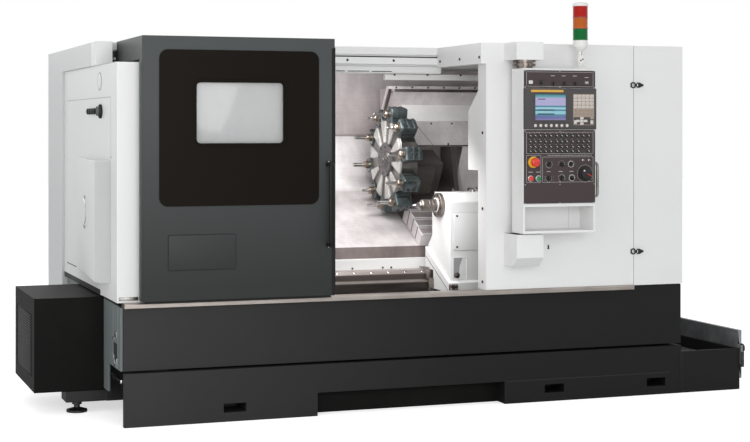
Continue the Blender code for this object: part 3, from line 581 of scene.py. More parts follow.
def lining_finish():
    """Lining sheet with painted light and shade by height: a painted highlight along the lower fold, brighter
    up to the upper fold, a painted shadow line along it, and painted shade, a little browner, above it.
    """
    made = metal("lining_sheet", (0.82, 0.78, 0.775), (0.36, 0.325, 0.325), (0.6, 1.4, 14.0), 0.38, 3.5, 0.85,
                 0.25)
    tree = made.node_tree
    shader = tree.nodes["Principled BSDF"]
    sheet = shader.inputs["Base Color"].links[0].from_socket
    where = tree.nodes["Texture Coordinate"].outputs["Object"]
    table = (
        (0.8, (1.0, 1.0, 1.0)), (1.095, (0.95, 0.94, 0.94)), (1.107, (1.2, 1.22, 1.22)),
        (1.12, (1.08, 1.09, 1.09)), (1.434, (1.12, 1.14, 1.14)), (1.441, (0.4, 0.37, 0.37)),
        (1.446, (0.4, 0.37, 0.37)), (1.452, (0.66, 0.63, 0.63)), (1.58, (0.72, 0.68, 0.68)),
        (1.8, (0.86, 0.85, 0.85)),
    )
    toned = blended(tree, 1.0, sheet, by_height(tree, where, table), "MULTIPLY")
    tree.links.new(toned, shader.inputs["Base Color"])
    return made


RAIL_OIL_AND_SHADE = rail_finish()
LINING_PAINTED_LIGHT = lining_finish()


def glass_pane():
    """Thin safety glass: mostly see-through with a light grey body and faint smears."""
    made, tree, shader, where = blank("window_glass")
    smear = noise(tree, stretched(tree, where, (1.0, 1.0, 0.4)), 5.0, 5, 0.65)
    tree.links.new(blended(tree, smear, (0.56, 0.565, 0.565), (0.62, 0.625, 0.625)),
                   shader.inputs["Base Color"])
    tree.links.new(ramp(tree, smear, 0.3, 0.7, 0.06, 0.14), shader.inputs["Roughness"])
    tree.links.new(ramp(tree, smear, 0.3, 0.7, 0.62, 0.68), shader.inputs["Alpha"])
    return made


GLASS = glass_pane()


# Finishes of the small pieces

MARK = enamel("print_grey", (0.62, 0.61, 0.6), 0.5, 0.05, 300.0, bump=0.00005)
KEY_LIGHT = enamel("key_cream", (0.6, 0.56, 0.52), 0.45, 0.08, 300.0, bump=0.0001)
KEY_BROWN = enamel("key_brown", (0.34, 0.27, 0.22), 0.45, 0.08, 300.0, bump=0.0001)
KEY_BLACK = enamel("key_black", (0.012, 0.011, 0.011), 0.38, 0.2, 300.0, bump=0.0001)
BEZEL = enamel("display_bezel", (0.055, 0.051, 0.051), 0.42, 0.08, 400.0, bump=0.0001)
GOLD = enamel("strip_gold", (0.62, 0.36, 0.07), 0.35, 0.08, 200.0, metallic=0.3, bump=0.0001)
BAR_BLACK = enamel("bar_black", (0.008, 0.008, 0.008), 0.28, 0.1, 200.0, bump=0.0001, specular=0.16)
RED = enamel("red_cap", (0.62, 0.035, 0.02), 0.28, 0.06, 120.0, coat=0.4, bump=0.0001)
GREEN = enamel("green_cap", (0.01, 0.16, 0.07), 0.28, 0.06, 120.0, coat=0.4, bump=0.0001)
YELLOW = enamel("yellow_collar", (0.82, 0.42, 0.02), 0.32, 0.06, 120.0, coat=0.3, bump=0.0001)
TOWER_WHITE = enamel("tower_white", (0.74, 0.73, 0.71), 0.35, 0.05, 90.0, bump=0.0001)
STREAKED = metal("rim_streaked", (0.42, 0.43, 0.44), (0.07, 0.07, 0.072), (1.0, 30.0, 1.0), 0.4, 9.0, 0.8,
                 0.6)
CHROME = metal("bright_plating", (0.74, 0.74, 0.74), (0.5, 0.5, 0.51), (30.0, 30.0, 30.0), 0.16, 20.0, 0.4)
BRASS = metal("brass", (0.52, 0.4, 0.24), (0.16, 0.12, 0.08), (30.0, 30.0, 30.0), 0.32, 60.0, 0.7)
BLACK_STEEL = metal("black_oxide", (0.09, 0.088, 0.085), (0.015, 0.015, 0.015), (30.0, 30.0, 30.0), 0.38,
                    50.0, 0.7, 0.8)
HANDLE_STEEL = metal("handle_steel", (0.3, 0.29, 0.27), (0.05, 0.05, 0.045), (40.0, 40.0, 1.0), 0.25, 20.0,
                     0.8, 0.8)
BROWN_STEEL = metal("pivot_steel", (0.3, 0.26, 0.23), (0.05, 0.04, 0.036), (1.0, 1.0, 80.0), 0.34, 30.0, 0.7)
HUB_STEEL = metal("hub_steel", (0.17, 0.155, 0.155), (0.06, 0.052, 0.053), (30.0, 30.0, 30.0), 0.42, 30.0,
                  0.6, 0.5)
SHADOW_GAP = enamel("seam_shadow", (0.02, 0.02, 0.02), 0.8, 0.1, 200.0, bump=0.0001)
SEAM_GREY = enamel("seam_grey", (0.45, 0.45, 0.45), 0.7, 0.1, 200.0, bump=0.0001)
PETAL = metal("petal_bright", (0.62, 0.61, 0.59), (0.22, 0.21, 0.2), (20.0, 30.0, 30.0), 0.3, 10.0, 0.9, 0.5)
QUILL_STEEL = metal("quill_steel", (0.34, 0.3, 0.27), (0.07, 0.058, 0.052), (1.0, 50.0, 50.0), 0.34, 20.0,
                    0.8, 0.8)
# Near-white steel; on the chamber cover's upward facet it is a painted highlight
LEDGE = metal("ledge_bright", (0.97, 0.96, 0.955), (0.8, 0.79, 0.785), (0.8, 8.0, 8.0), 0.5, 6.0, 0.7, 0.0)
BRIGHT_EDGE = enamel("bright_edge", (0.8, 0.79, 0.78), 0.45, 0.05, 200.0, bump=0.0001)
DIM_SHEET = metal("dim_stainless", (0.4, 0.36, 0.355), (0.2, 0.172, 0.168), (1.0, 12.0, 12.0), 0.4, 7.0, 0.8,
                  0.25)
NICHE_SHADE = enamel("niche_shade", (0.4, 0.405, 0.41), 0.6, 0.1, 200.0, bump=0.0001)
PERFORATION = enamel("perforation", (0.085, 0.085, 0.083), 0.7, 0.3, 300.0, bump=0.0001)


def screwed(name, places, radius, height, sides=12, facing=FRONT, finish=BLACK_STEEL, body="machine"):
    """The same screw at several places, as one piece."""
    piece(name, screw_row(places, radius, height, sides, facing), finish, body)


def lens(name, tone, glow):
    """Ribbed lamp lens: glossy tinted plastic that shines a little through its ribs."""
    made, tree, shader, where = blank(name)
    rib = tree.nodes.new("ShaderNodeTexWave")
    rib.wave_type = "BANDS"
    rib.bands_direction = "Z"
    rib.inputs["Scale"].default_value = 60.0
    rib.inputs["Distortion"].default_value = 0.4
    tree.links.new(where, rib.inputs["Vector"])
    tree.links.new(blended(tree, rib.outputs["Fac"], tone, tuple(0.45 * c for c in tone)),
                   shader.inputs["Base Color"])
    shader.inputs["Roughness"].default_value = 0.22
    shader.inputs["Specular IOR Level"].default_value = 0.22
    shader.inputs["Emission Color"].default_value = (*tone, 1.0)
    shader.inputs["Emission Strength"].default_value = glow
    bumped(tree, shader, rib.outputs["Fac"], 0.0006)
    return made


RED_LENS = lens("lens_red", (0.55, 0.025, 0.018), 0.06)
AMBER_LENS = lens("lens_amber", (0.64, 0.16, 0.03), 0.05)
GREEN_LENS = lens("lens_green", (0.01, 0.2, 0.05), 0.03)


def screen_picture():
    """Lit display: flat colour bands by height, as a generic control picture."""
    made, tree, shader, where = blank("lit_screen")
    table = (
        (0.0, (0.13, 0.12, 0.27)), (0.08, (0.08, 0.08, 0.22)), (0.16, (0.035, 0.13, 0.21)),
        (0.24, (0.16, 0.36, 0.42)), (0.36, (0.02, 0.12, 0.18)), (0.42, (0.19, 0.38, 0.44)),
        (0.5, (0.024, 0.14, 0.2)), (0.56, (0.26, 0.24, 0.4)), (0.86, (0.05, 0.21, 0.25)),
        (0.93, (0.01, 0.13, 0.15)),
    )
    picture = by_height(tree, where, table, (1.5285, 1.671), "CONSTANT")
    grain = noise(tree, stretched(tree, where, (1.0, 1.0, 4.0)), 160.0, 2)
    tinted = blended(tree, ramp(tree, grain, 0.3, 0.7, 0.0, 0.05), picture, (0.9, 0.95, 1.0))
    tree.links.new(tinted, shader.inputs["Base Color"])
    tree.links.new(tinted, shader.inputs["Emission Color"])
    shader.inputs["Emission Strength"].default_value = 0.35
    shader.inputs["Roughness"].default_value = 0.2
    return made


SCREEN = screen_picture()


# The turret: axis along X, its face towards the spindle

FACE_X = 1.82
DISC_RADIUS = 0.2345
STATIONS = np.arange(10) * 2 * pi / 10 + SLOPE


def radial_outline(radius, phase, count=10):
    """Corners of a regular polygon whose sides lie at the radius."""
    turn = phase + pi * (2 * np.arange(count) + 1) / count
    return np.stack([np.cos(turn), np.sin(turn)], axis=-1) * radius / cos(pi / count)


def along_axis(profile, x, sides=32, at=TURRET, closed_ends=True):
    """A turned shape laid along +X from x, round the turret's axis or another."""
    points, faces = turned(profile, sides, closed_ends)
    return np.c_[points[:, 2] + x, points[:, 0] + at[1], points[:, 1] + at[2]], faces


def station(x, outward, aside=0):
    """A place beside the turret's axis, at the station that points to +Y."""
    return np.array([x, TURRET[1] + outward, TURRET[2] + aside])


def turret_shapes():
    """Disc, petals between the stations, hub, tool blocks with their screws, and the tools."""
    rings = []
    for inset, x in ((0.004, FACE_X + 0.11), (0.0, FACE_X + 0.106), (0.0, FACE_X + 0.0145),
                     (0.0035, FACE_X + 0.0105)):
        flat = radial_outline(DISC_RADIUS - inset, SLOPE)
        rings.append(np.c_[np.full(10, x), flat + TURRET[1:]])
    piece("turret_body", skin(rings), TURRET_STEEL, "turret", replaces="turret_disc")

    half = np.array([[0.104, -0.008], [0.229, -0.036], [DISC_RADIUS, -0.028]])
    outline = np.vstack([half, half[::-1] * [1, -1]])
    centre = outline.mean(axis=0)
    levels = ((1.0, 0.0108), (1.0, 0.0022), (0.965, 0.0))
    stack = [np.c_[np.full(len(outline), FACE_X + depth), centre + (outline - centre) * grow]
             for grow, depth in levels]
    piece("turret_petals", spun(moved(skin(stack), HUB), STATIONS + pi / 10, HUB), PETAL, "turret")

    edge = along_axis([(0.0985, 0.013), (0.0985, -0.004), (0.096, -0.0065), (0.06, -0.0065), (0.06, -0.0045),
                       (0.057, -0.0045), (0.057, -0.0085), (0.04, -0.0085), (0.036, -0.013), (0.018, -0.013),
                       (0.014, -0.019), (0.006, -0.0205)], FACE_X, 48)
    piece("turret_hub", edge, HUB_STEEL, "turret")
    bolt = moved(screw(0.0062, 0.004, 12), station(FACE_X - 0.0064, 0.078), LEFT)
    bolts = spun(bolt, np.arange(8) * pi / 4 + 0.2, HUB)
    inner = moved(screw(0.004, 0.0026, 10), station(FACE_X - 0.0084, 0.048), LEFT)
    inner = spun(inner, np.arange(6) * pi / 3, HUB)
    piece("turret_hub_screws", [bolts, inner], BLACK_STEEL, "turret")

    # One block at angle nought, its outer face towards +Y
    way = np.array([[1, 0, 0], [0, 0, -1], [0, 1, 0]], float)
    mid = FACE_X + 0.057
    block = moved(plate(0.108, 0.082, 0.086, 0.012, 0.007, 4), station(mid, 0.229), way)
    neck = moved(plate(0.1, 0.07, 0.01, 0.004, 0.002, 3), station(mid, 0.224), way)
    ridge = [moved(plate(0.018, 0.078, 0.0035, 0.003, 0.0015, 3), station(mid + step, 0.3145), way)
             for step in (-0.036, 0.0, 0.036)]
    side_cut = [moved(plate(0.09, 0.006, 0.004, 0.001, 0.001, 2), station(mid, 0.262, side * 0.0405),
                      TOP * [[1], [side], [side]]) for side in (-1, 1)]
    blocks = spun(joined([block, neck] + ridge), STATIONS, HUB)
    piece("tool_blocks", blocks, HOLDER_STEEL, "turret")
    piece("tool_block_clamps", spun(joined(side_cut), STATIONS, HUB), BLACK_STEEL, "turret")
    sockets = copies(moved(screw(0.0075, 0.0035, 12), station(mid, 0.3155), way),
                     [(-0.018, 0, -0.024), (0.018, 0, -0.024), (-0.018, 0, 0.024), (0.018, 0, 0.024)])
    front = copies(moved(screw(0.006, 0.003, 12), station(FACE_X + 0.0035, 0.245), LEFT),
                   [(0, 0, -0.03), (0, 0, 0.03)])
    piece("tool_block_screws", spun(joined([sockets, front]), STATIONS, HUB), BLACK_STEEL, "turret")

    at = TURRET + [0, 0.278, 0]
    collar = [(0.0235, 0.004), (0.0235, -0.01), (0.0215, -0.012), (0.0215, -0.017), (0.0235, -0.019),
              (0.0205, -0.024), (0.014, -0.026)]
    drill = [(0.0115, -0.02), (0.0115, -0.07), (0.009, -0.072), (0.009, -0.09), (0.001, -0.0985)]
    boring = [(0.0118, -0.02), (0.0118, -0.08), (0.0125, -0.082), (0.0125, -0.097), (0.01, -0.099)]
    stub = [(0.0118, -0.02), (0.0118, -0.04), (0.0075, -0.046), (0.0075, -0.066), (0.004, -0.07)]
    insert = moved(plate(0.01, 0.01, 0.004, 0.001, 0.0006, 2), (FACE_X - 0.09, at[1] + 0.0115, at[2]), way)
    piece("tool_collars", spun(along_axis(collar, FACE_X, 24, at), STATIONS, HUB), BRONZE, "turret")
    drill, boring, stub = (along_axis(profile, FACE_X, 16, at) for profile in (drill, boring, stub))
    tools = ((drill, [2, 5, 7]), (joined([boring, insert]), [0, 4, 6, 9]), (stub, [1, 3, 8]))
    shanks = [spun(tool, STATIONS[picks], HUB) for tool, picks in tools]
    piece("tool_shanks", shanks, GROUND, "turret")


def bed_point(x, along, off):
    """A place on the slanted slide: along it and off it from the turret's axis."""
    return np.array([x, TURRET[1] + along * cos(SLOPE) - off * sin(SLOPE), TURRET[2] + along * sin(SLOPE)
                     + off * cos(SLOPE)])


DOWN_SLIDE = np.array([[1, 0, 0], [0, -sin(SLOPE), cos(SLOPE)], [0, -cos(SLOPE), -sin(SLOPE)]])


def turret_slide_shapes():
    """Cover plates with corner screws on the slide's faces towards the operator."""
    covers = [
        moved(plate(0.15, 0.15, 0.0022, 0.004, 0.001), bed_point(2.045, -0.0802, -0.115), DOWN_SLIDE),
        moved(plate(0.09, 0.08, 0.0022, 0.004, 0.001), bed_point(2.155, -0.0202, -0.085), DOWN_SLIDE),
    ]
    piece("slide_covers", covers, DARK_CASTING, "cross_slide")
    corners = [bed_point(2.045 + a * 0.065, -0.0824, -0.115 + b * 0.065) for a in (-1, 1) for b in (-1, 1)]
    corners += [bed_point(2.045 + a * 0.065, -0.0824, -0.115) for a in (-1, 1)]
    screwed("slide_cover_screws", corners, 0.0055, 0.003, 12, DOWN_SLIDE, finish=BRASS, body="cross_slide")


def saddle_shapes():
    """Chamber cover with its slanting left end, frame, studs, seam and hanging sheet; cover plates."""
    left, right = 1.9453, 2.7498
    low, high = bed_point(0, 0.155, 0.002)[1:], np.array([1.25, 1.53])
    back = bed_point(0, 0.44, 0.002)[1:]
    full = [(1.3, 1.735), (1.3, 1.712), (1.38, 1.635), (1.25, 1.53), tuple(low), tuple(back),
            (back[0], 1.735)]
    tucked = [(1.318, 1.735), (1.332, 1.712), (1.405, 1.6), (1.35, 1.52), tuple(bed_point(0, 0.2, 0.002)[1:]),
              tuple(back), (back[0], 1.735)]
    slant = (1.946, 1.988, 2.067, 2.012, 1.98, 1.946, 1.946)
    rings = [[(left, y, z) for y, z in tucked], [(x, y, z) for x, (y, z) in zip(slant, full)],
             [(right, y, z) for y, z in full]]
    piece("chamber_cover", skin(rings), STAINLESS, "carriage", smooth=10,
          replaces="saddle_cover")
    # Near-white sheet on the cover's upward facet: painted light, where the lamp above falls on that face
    lift = np.array([0.0, -0.63, 0.78]) * 0.0006
    ledge = np.array([(2.069, 1.3785, 1.6338), (2.014, 1.2515, 1.5312), (2.749, 1.2515, 1.5312),
                      (2.749, 1.3785, 1.6338)])
    piece("cover_end_sheet", across(tucked, 1.9446, left), DIM_SHEET, "carriage")
    piece("cover_ledge_highlight", skin([ledge + lift, ledge + lift * 2]), LEDGE, "carriage")
    strip = box((1.946, 1.2815, 1.7312), (2.745, 1.2998, 1.7495), 0.002)
    side = across([(1.2815, 1.7495), (1.302, 1.7495), (1.4, 1.59), (1.388, 1.58), (1.286, 1.7312),
                   (1.2815, 1.7312)], 1.937, 1.9452)
    piece("cover_frame", [strip, side], STAINLESS, "carriage")
    inner = [box((1.99, 1.292, 1.713), (2.745, 1.2999, 1.7308), 0.001),
             across([(1.286, 1.73), (1.396, 1.57), (1.383, 1.57), (1.283, 1.715)], 1.9454, 1.962)]
    piece("cover_frame_shadow", inner, COVER_EDGE, "carriage")
    screwed("cover_frame_studs", [(x, 1.2816, 1.7405) for x in 1.993 + 0.107 * np.arange(7)], 0.0062, 0.005,
            body="carriage")
    # Lower face of the cover, from its lower front edge down to the slide
    run = high - low
    run = run / np.linalg.norm(run)
    facing = np.array([[1, 0, 0], [0, run[0], run[1]], [0, -run[1], run[0]]])
    shift = np.linalg.norm(high - low)
    places = [(x, shift - 0.0148) for x in 2.072 + 0.1395 * np.arange(5)]
    places += [(x, 0.0165) for x in (2.087, 2.301, 2.439, 2.64)]
    places = [(x, *(low + run * t + facing[2][1:] * 0.0002)) for x, t in places]
    screwed("cover_screws", places, 0.0062, 0.0035, 12, facing, body="carriage")
    # Light sheet under the cover's lower edge, with a slanting left side and a corner on the cover plates
    hang, top = low[0] + 0.004, low[1] + 0.001
    reach = hang - 1
    guard_foot, guard_right = 1.06, 2.74
    guard = [(2.3118 + 0.47 * reach, top), (2.2386 + 0.4617 * reach, guard_foot), (guard_right, guard_foot),
             (guard_right, top)]
    triangle = np.array([bed_point(x, along, -0.2095)
                         for x, along in ((2.2434, -0.12), (2.3445, 0.064), (2.3445, -0.12))])
    corner = skin([triangle, triangle + ON_SLIDE[2] * 0.001])
    piece("guard_sheet", [moved(prism(guard, 0.002), (0, hang, 0), FRONT), corner], STAINLESS,
          "carriage")
    lean = 0.568
    leaning = np.array([[cos(lean), sin(lean), 0], [-sin(lean), cos(lean), 0], [0, 0, 1]]) @ facing
    seam = plate(0.0028, 0.184, 0.0006, 0.0005, 0.0003)
    piece("cover_seam", moved(seam, (2.155, *(low + run * (shift / 2 - 0.008))), leaning), COVER_EDGE,
          "carriage")
    edge = moved(plate(0.762, 0.009, 0.0016, 0.001, 0.0006), (2.365, *(low + run * 0.0052)), facing)
    piece("cover_edge_strip", edge, COVER_EDGE, "carriage")
    wipers, lines, gaps, tops = [], [], [], []
    for k in range(4):
        along = -0.44 + k * 0.0724
        off = -0.3353 + 0.125 - 0.012 * (4 - k)
        wipers.append(moved(plate(0.196, 0.004, 0.0014, 0.0008, 0.0005),
                            bed_point(2.045, along + 0.006, off + 0.001), ON_SLIDE))
        lines.append(moved(plate(0.008, 0.0722, 0.0024, 0.0008, 0.0005),
                           bed_point(1.9494, along + 0.0362, off + 0.0001), ON_SLIDE))
        tops.append(moved(plate(0.188, 0.0715, 0.0009, 0.0004, 0.0003),
                          bed_point(2.048, along + 0.0362, off + 0.0001), ON_SLIDE))
        corners = [(along - 0.004, -0.326), (along + 0.004, -0.326), (along + 0.004, off - 0.004),
                   (along - 0.004, off - 0.004)]
        if k:
            gaps.append(across([tuple(bed_point(0, a, o)[1:]) for a, o in corners], 1.944, 1.9452))
    piece("plate_wipers", wipers, LEDGE, "carriage")
    piece("plate_edges", lines, BRIGHT_EDGE, "carriage")
    piece("plate_tops", tops, DIM_SHEET, "carriage")
    piece("plate_gaps", gaps, COVER_EDGE, "carriage")
    # Dark mottled strip under the lining's lip, screws along the bed's front and on the upper rail
    piece("lining_skirt", box((0.8015, 0.8284, 0.7292), (2.88, 0.8299, 0.796), 0.0004), SKIRT)
    screwed("bed_front_screws", [(x, 0.7998, 0.6765) for x in (1.518, 1.707, 1.76, 2.62)], 0.0062, 0.003)
    on_rail = np.array([[1, 0, 0], [0, 0.78, 0.625], [0, -0.625, 0.78]])
    screwed("rail_bolts", [(x, 0.7125, 0.6581) for x in 0.8645 + 0.1055 * np.arange(19)], 0.008, 0.0016, 14,
            on_rail, finish=CHROME)


def tailstock_shapes():
    """Quill with its rings and live centre, nose flange, front plate, recess, fittings and wipers."""
    axis, tip, nose, slab_left = SPINDLE, 1.851, 1.975, 1.9597
    plate_at = np.array([2.145, 0.4498, 0.903])
    niche_bolt = (2.017, 0.449, 0.655)
    quill = along_axis([(0.0335, 0.25), (0.0338, 0.11), (0.0338, 0.088), (0.0315, 0.086), (0.0315, 0.08),
                        (0.0338, 0.078), (0.0338, 0.066), (0.0315, 0.064), (0.0315, 0.058), (0.0338, 0.056),
                        (0.0338, 0.044), (0.0315, 0.042), (0.0315, 0.036), (0.0338, 0.034), (0.0338, 0.006),
                        (0.03, 0.001)], tip, 40, axis)
    piece("quill_sleeve", quill, QUILL_STEEL, "quill", replaces="tailstock_quill")
    centre = along_axis([(0.022, 0.004), (0.022, -0.006), (0.0185, -0.01), (0.0185, -0.018), (0.012, -0.021),
                         (0.012, -0.031), (0.0085, -0.033), (0.0006, -0.0525)], tip, 32, axis)
    piece("live_centre", centre, GROUND, "quill")
    # Open rings, so that the quill passes through them on its stroke
    flange = along_axis([(0.0365, -0.01), (0.0365, -0.03), (0.046, -0.031), (0.048, -0.0285),
                         (0.048, -0.0265), (0.0685, -0.0262), (0.0705, -0.024), (0.0705, -0.002),
                         (0.0365, -0.002), (0.0365, -0.01)], nose, 48, axis, False)
    piece("nose_flange", flange, QUILL_STEEL, "tailstock")
    seal = along_axis([(0.0362, -0.026), (0.0362, -0.0335), (0.0405, -0.034), (0.0425, -0.032),
                       (0.0425, -0.026), (0.0362, -0.026)], nose, 40, axis, False)
    piece("nose_seal", seal, BRIGHT_EDGE, "tailstock")
    bolt = moved(screw(0.0052, 0.004, 12), (nose - 0.0262, axis[1] + 0.0585, axis[2]), LEFT)
    piece("nose_bolts", spun(bolt, np.arange(8) * pi / 4 + 0.3, axis * [0, 1, 1]), BLACK_STEEL,
          "tailstock")
    cover = moved(plate(0.3, 0.212, 0.004, 0.006, 0.0012), plate_at, FRONT)
    piece("tailstock_front_plate", cover, TAILSTOCK_WHITE, "tailstock")
    rim = moved(frame_plate(0.304, 0.216, 0.003, 0.0008, 0.007, 0.0003), plate_at, FRONT)
    piece("tailstock_plate_gap", rim, NICHE_SHADE, "tailstock")
    screwed("tailstock_plate_screws", [plate_at + [a * 0.129, -0.004, b * 0.088] for a in (-1, 1)
                                       for b in (-1, 1)], 0.0065, 0.003, body="tailstock")
    rim = moved(frame_plate(0.088, 0.125, 0.004, 0.003, 0.004, 0.001), (2.036, 0.45, 0.6955), FRONT)
    piece("clamp_niche_rim", rim, TAILSTOCK_WHITE, "tailstock")
    shade = [(1.9965, 0.7535), (2.05, 0.7535), (2.033, 0.706), (2.029, 0.648), (2.013, 0.64), (1.9965, 0.638)]
    piece("clamp_niche_shade", moved(prism(shade, 0.0008), (0, 0.45, 0), FRONT), NICHE_SHADE,
          "tailstock")
    nut = moved(turned([(0.0125, 0), (0.0125, 0.006), (0.01, 0.008), (0.01, 0.012), (0.0055, 0.013)], 6),
                niche_bolt, FRONT)
    washer = moved(turned([(0.0165, 0), (0.0165, 0.0025), (0.012, 0.003)], 24), niche_bolt, FRONT)
    piece("clamp_bolt", [nut, washer], BROWN_STEEL, "tailstock")
    union = [along_axis([(0.011, 0), (0.011, 0.016), (0.008, 0.018), (0.008, 0.04), (0.012, 0.042),
                         (0.012, 0.056), (0.006, 0.058)], 2.158, 6, np.array([0, 0.6, 1.134])),
             moved(turned([(0.015, 0), (0.015, 0.004), (0.01, 0.006), (0.01, 0.014)], 20),
                   (2.188, 0.6, 1.1199))]
    piece("oil_union", union, GROUND, "tailstock")
    # Seam down the slab's left side, wipers that follow the rail's outline, and the front clamp knob
    seam = tube([(slab_left, 0.752, 0.741), (slab_left, 0.6, 0.658), (slab_left, 0.437, 0.567)], 0.0016, 8)
    piece("slab_seam", seam, COVER_EDGE, "tailstock")
    outer = [(0.64, 0.545), (0.64, 0.622), (0.68, 0.628), (0.68, 0.652), (0.714, 0.681), (0.78, 0.681)]
    inner = [(0.78, 0.676), (0.722, 0.676), (0.6925, 0.65), (0.6925, 0.6175), (0.6525, 0.6125),
             (0.6525, 0.545)]
    piece("rail_wiper", across(outer + inner, 1.93, slab_left), QUILL_STEEL, "tailstock")
    places = [(0.6465, 0.557), (0.6465, 0.6), (0.668, 0.62), (0.6862, 0.645)]
    bolts = screw_row([(1.93, y, z) for y, z in places], 0.0052, 0.004, 10, LEFT)
    bolts += screw_row([(1.944, 0.64, z) for z in (0.565, 0.602)], 0.0048, 0.004, 10)
    piece("rail_wiper_bolts", bolts, BROWN_STEEL, "tailstock")
    lobe = turned([(0.01, 0), (0.01, 0.006), (0.006, 0.01), (0.002, 0.0105)], 12)
    knob = [moved(lobe, (1.984 + a * 0.014, 0.418, 0.588 + b * 0.011), FRONT) for a in (-1, 1)
            for b in (-1, 1)]
    piece("base_clamp", [box((1.958, 0.4175, 0.567), (2.01, 0.4349, 0.608), 0.006)] + knob, BROWN_STEEL,
          "tailstock")


# Control pendant: places are read in the panel's own columns and rows

def panel_place(column, row, face=PANEL_FACE):
    """Column and row of the panel drawing as metres: 5.958 mm a column, 5.314 mm a row."""
    return np.array([2.1 + (column - 524.0) * 0.0059583, face, 1.494 + (127.0 - row) * 0.005314])


def on_panel(form, column, row, face=PLATE_FACE):
    return moved(form, panel_place(column, row, face), FRONT)


def spots(form, places, face=PLATE_FACE):
    """One form at many columns and rows of the panel."""
    here = moved(form, (0, 0, 0), FRONT)
    return copies(here, [panel_place(c, r, face) for c, r in places])


def tilted(turn):
    """FRONT turned about its outward axis."""
    c, s = cos(turn), sin(turn)
    return np.array([[c, 0, s], [-s, 0, c], [0, -1, 0]])


def ticks(column, row, radius, count, start, end, length=0.0045, width=0.0013, face=PLATE_FACE):
    """Scale round a knob: thin plates turned to stand square to the circle."""
    made = []
    for turn in np.linspace(radians(start), radians(end), count):
        spin = tilted(turn)
        at = panel_place(column, row, face) + spin[0] * radius
        made.append(moved(mark(length, width, 0.0002), at, spin))
    return made


def mark(width, height, radius=0.0003):
    """A printed mark, 0.3 mm proud."""
    return plate(width, height, 0.0003, radius, 0.0001, 1)


def key_cap(width, height):
    return plate(width, height, 0.0022, 0.0018, 0.0012, 3)


def line_box(left, top, right, bottom, band=0.0011):
    """Thin printed frame between two corners of the panel."""
    width, height = (right - left) * 0.0059583, (bottom - top) * 0.005314
    return on_panel(frame_plate(width, height, band, 0.0003, 0.003, 0.0001, 3), (left + right) / 2,
                    (top + bottom) / 2)


def display_shapes():
    """Plates over the pendant's faces, display with its picture and strip, and the keypad beside it."""
    plates = [on_panel(plate(0.42, 0.0925, 0.0012, 0.004, 0.0008), 559.8, 78.95, PANEL_FACE + 0.0006),
              on_panel(plate(0.42, 0.389, 0.0012, 0.004, 0.0008), 559.8, 166.35, PANEL_FACE + 0.0006)]
    piece("panel_plates", plates, PANEL_BROWN, "pendant")
    display = [on_panel(plate(0.428, 0.2165, 0.0016, 0.01, 0.0012), 560.2, 108.6, DISPLAY_FACE + 0.0006),
               on_panel(frame_plate(0.2, 0.156, 0.01, 0.003, 0.006, 0.0016), 550.0, 107.1,
                        DISPLAY_FACE - 0.001)]
    piece("display_bezel", display, BEZEL, "pendant")
    piece("lit_screen", on_panel(plate(0.1847, 0.1425, 0.0008, 0.002, 0.0003), 550.0, 107.1,
                                 DISPLAY_FACE - 0.001), SCREEN, "pendant")
    rows = [on_panel(plate(0.098, 0.0055, 0.0004, 0.0004, 0.0002), 545.6, 109.7, SCREEN_TOP),
            on_panel(plate(0.098, 0.0055, 0.0004, 0.0004, 0.0002), 545.6, 113.8, SCREEN_TOP),
            on_panel(plate(0.044, 0.0045, 0.0004, 0.0004, 0.0002), 541.2, 99.0, SCREEN_TOP)]
    piece("screen_rows", rows, KEY_BLACK, "pendant")
    piece("display_strip", on_panel(plate(0.192, 0.0125, 0.0012, 0.001, 0.0005), 546.8, 90.9,
                                    DISPLAY_FACE - 0.0008), GOLD, "pendant")
    round_key = turned([(0.0084, 0), (0.0084, 0.0018), (0.007, 0.003), (0.0045, 0.0034), (0.001, 0.0035)], 20)
    piece("soft_keys", spots(round_key, [(535.0 + 5.25 * k, 125.3) for k in range(7)], DISPLAY_FACE - 0.0009),
          KEY_LIGHT, "pendant")
    pad = key_cap(0.0196, 0.015)
    light = [(575.0 + 4.1 * c, 96.0 + 3.55 * r) for c in range(5) for r in range(4)]
    brown = [(575.0 + 4.1 * c, 110.4 + 3.4 * r) for c in range(5) for r in range(2)]
    piece("keypad_tray", on_panel(plate(0.126, 0.166, 0.0007, 0.002, 0.0004), 583.2, 109.3,
                                  DISPLAY_FACE - 0.0009), KEY_BROWN, "pendant")
    piece("keypad_well", on_panel(plate(0.1225, 0.04, 0.0004, 0.002, 0.0002), 583.2, 120.6,
                                  DISPLAY_FACE - 0.0016), BEZEL, "pendant")
    cross = [(581.3, 117.9), (581.3, 123.3), (577.5, 120.7), (585.1, 120.7), (581.3, 120.6)]
    arrow = key_cap(0.0205, 0.0125)
    tall = key_cap(0.0165, 0.02)
    pads = [spots(pad, light, KEY_SEAT), spots(arrow, cross, KEY_SEAT),
            spots(tall, [(574.8, 121.9), (591.4, 121.9)], KEY_SEAT)]
    piece("keypad_light", pads, KEY_LIGHT, "pendant")
    piece("keypad_brown", [spots(pad, brown, KEY_SEAT), spots(pad, [(591.4, 117.6)], KEY_SEAT)],
          KEY_BROWN, "pendant")
    small = mark(0.0085, 0.0016)
    smaller = mark(0.005, 0.0014)
    legends = [spots(small, light + brown, KEY_TOP)]
    legends.append(spots(smaller, [(c + 0.4, r + 0.9) for c, r in light], KEY_TOP))
    piece("keypad_marks", legends, BEZEL, "pendant")


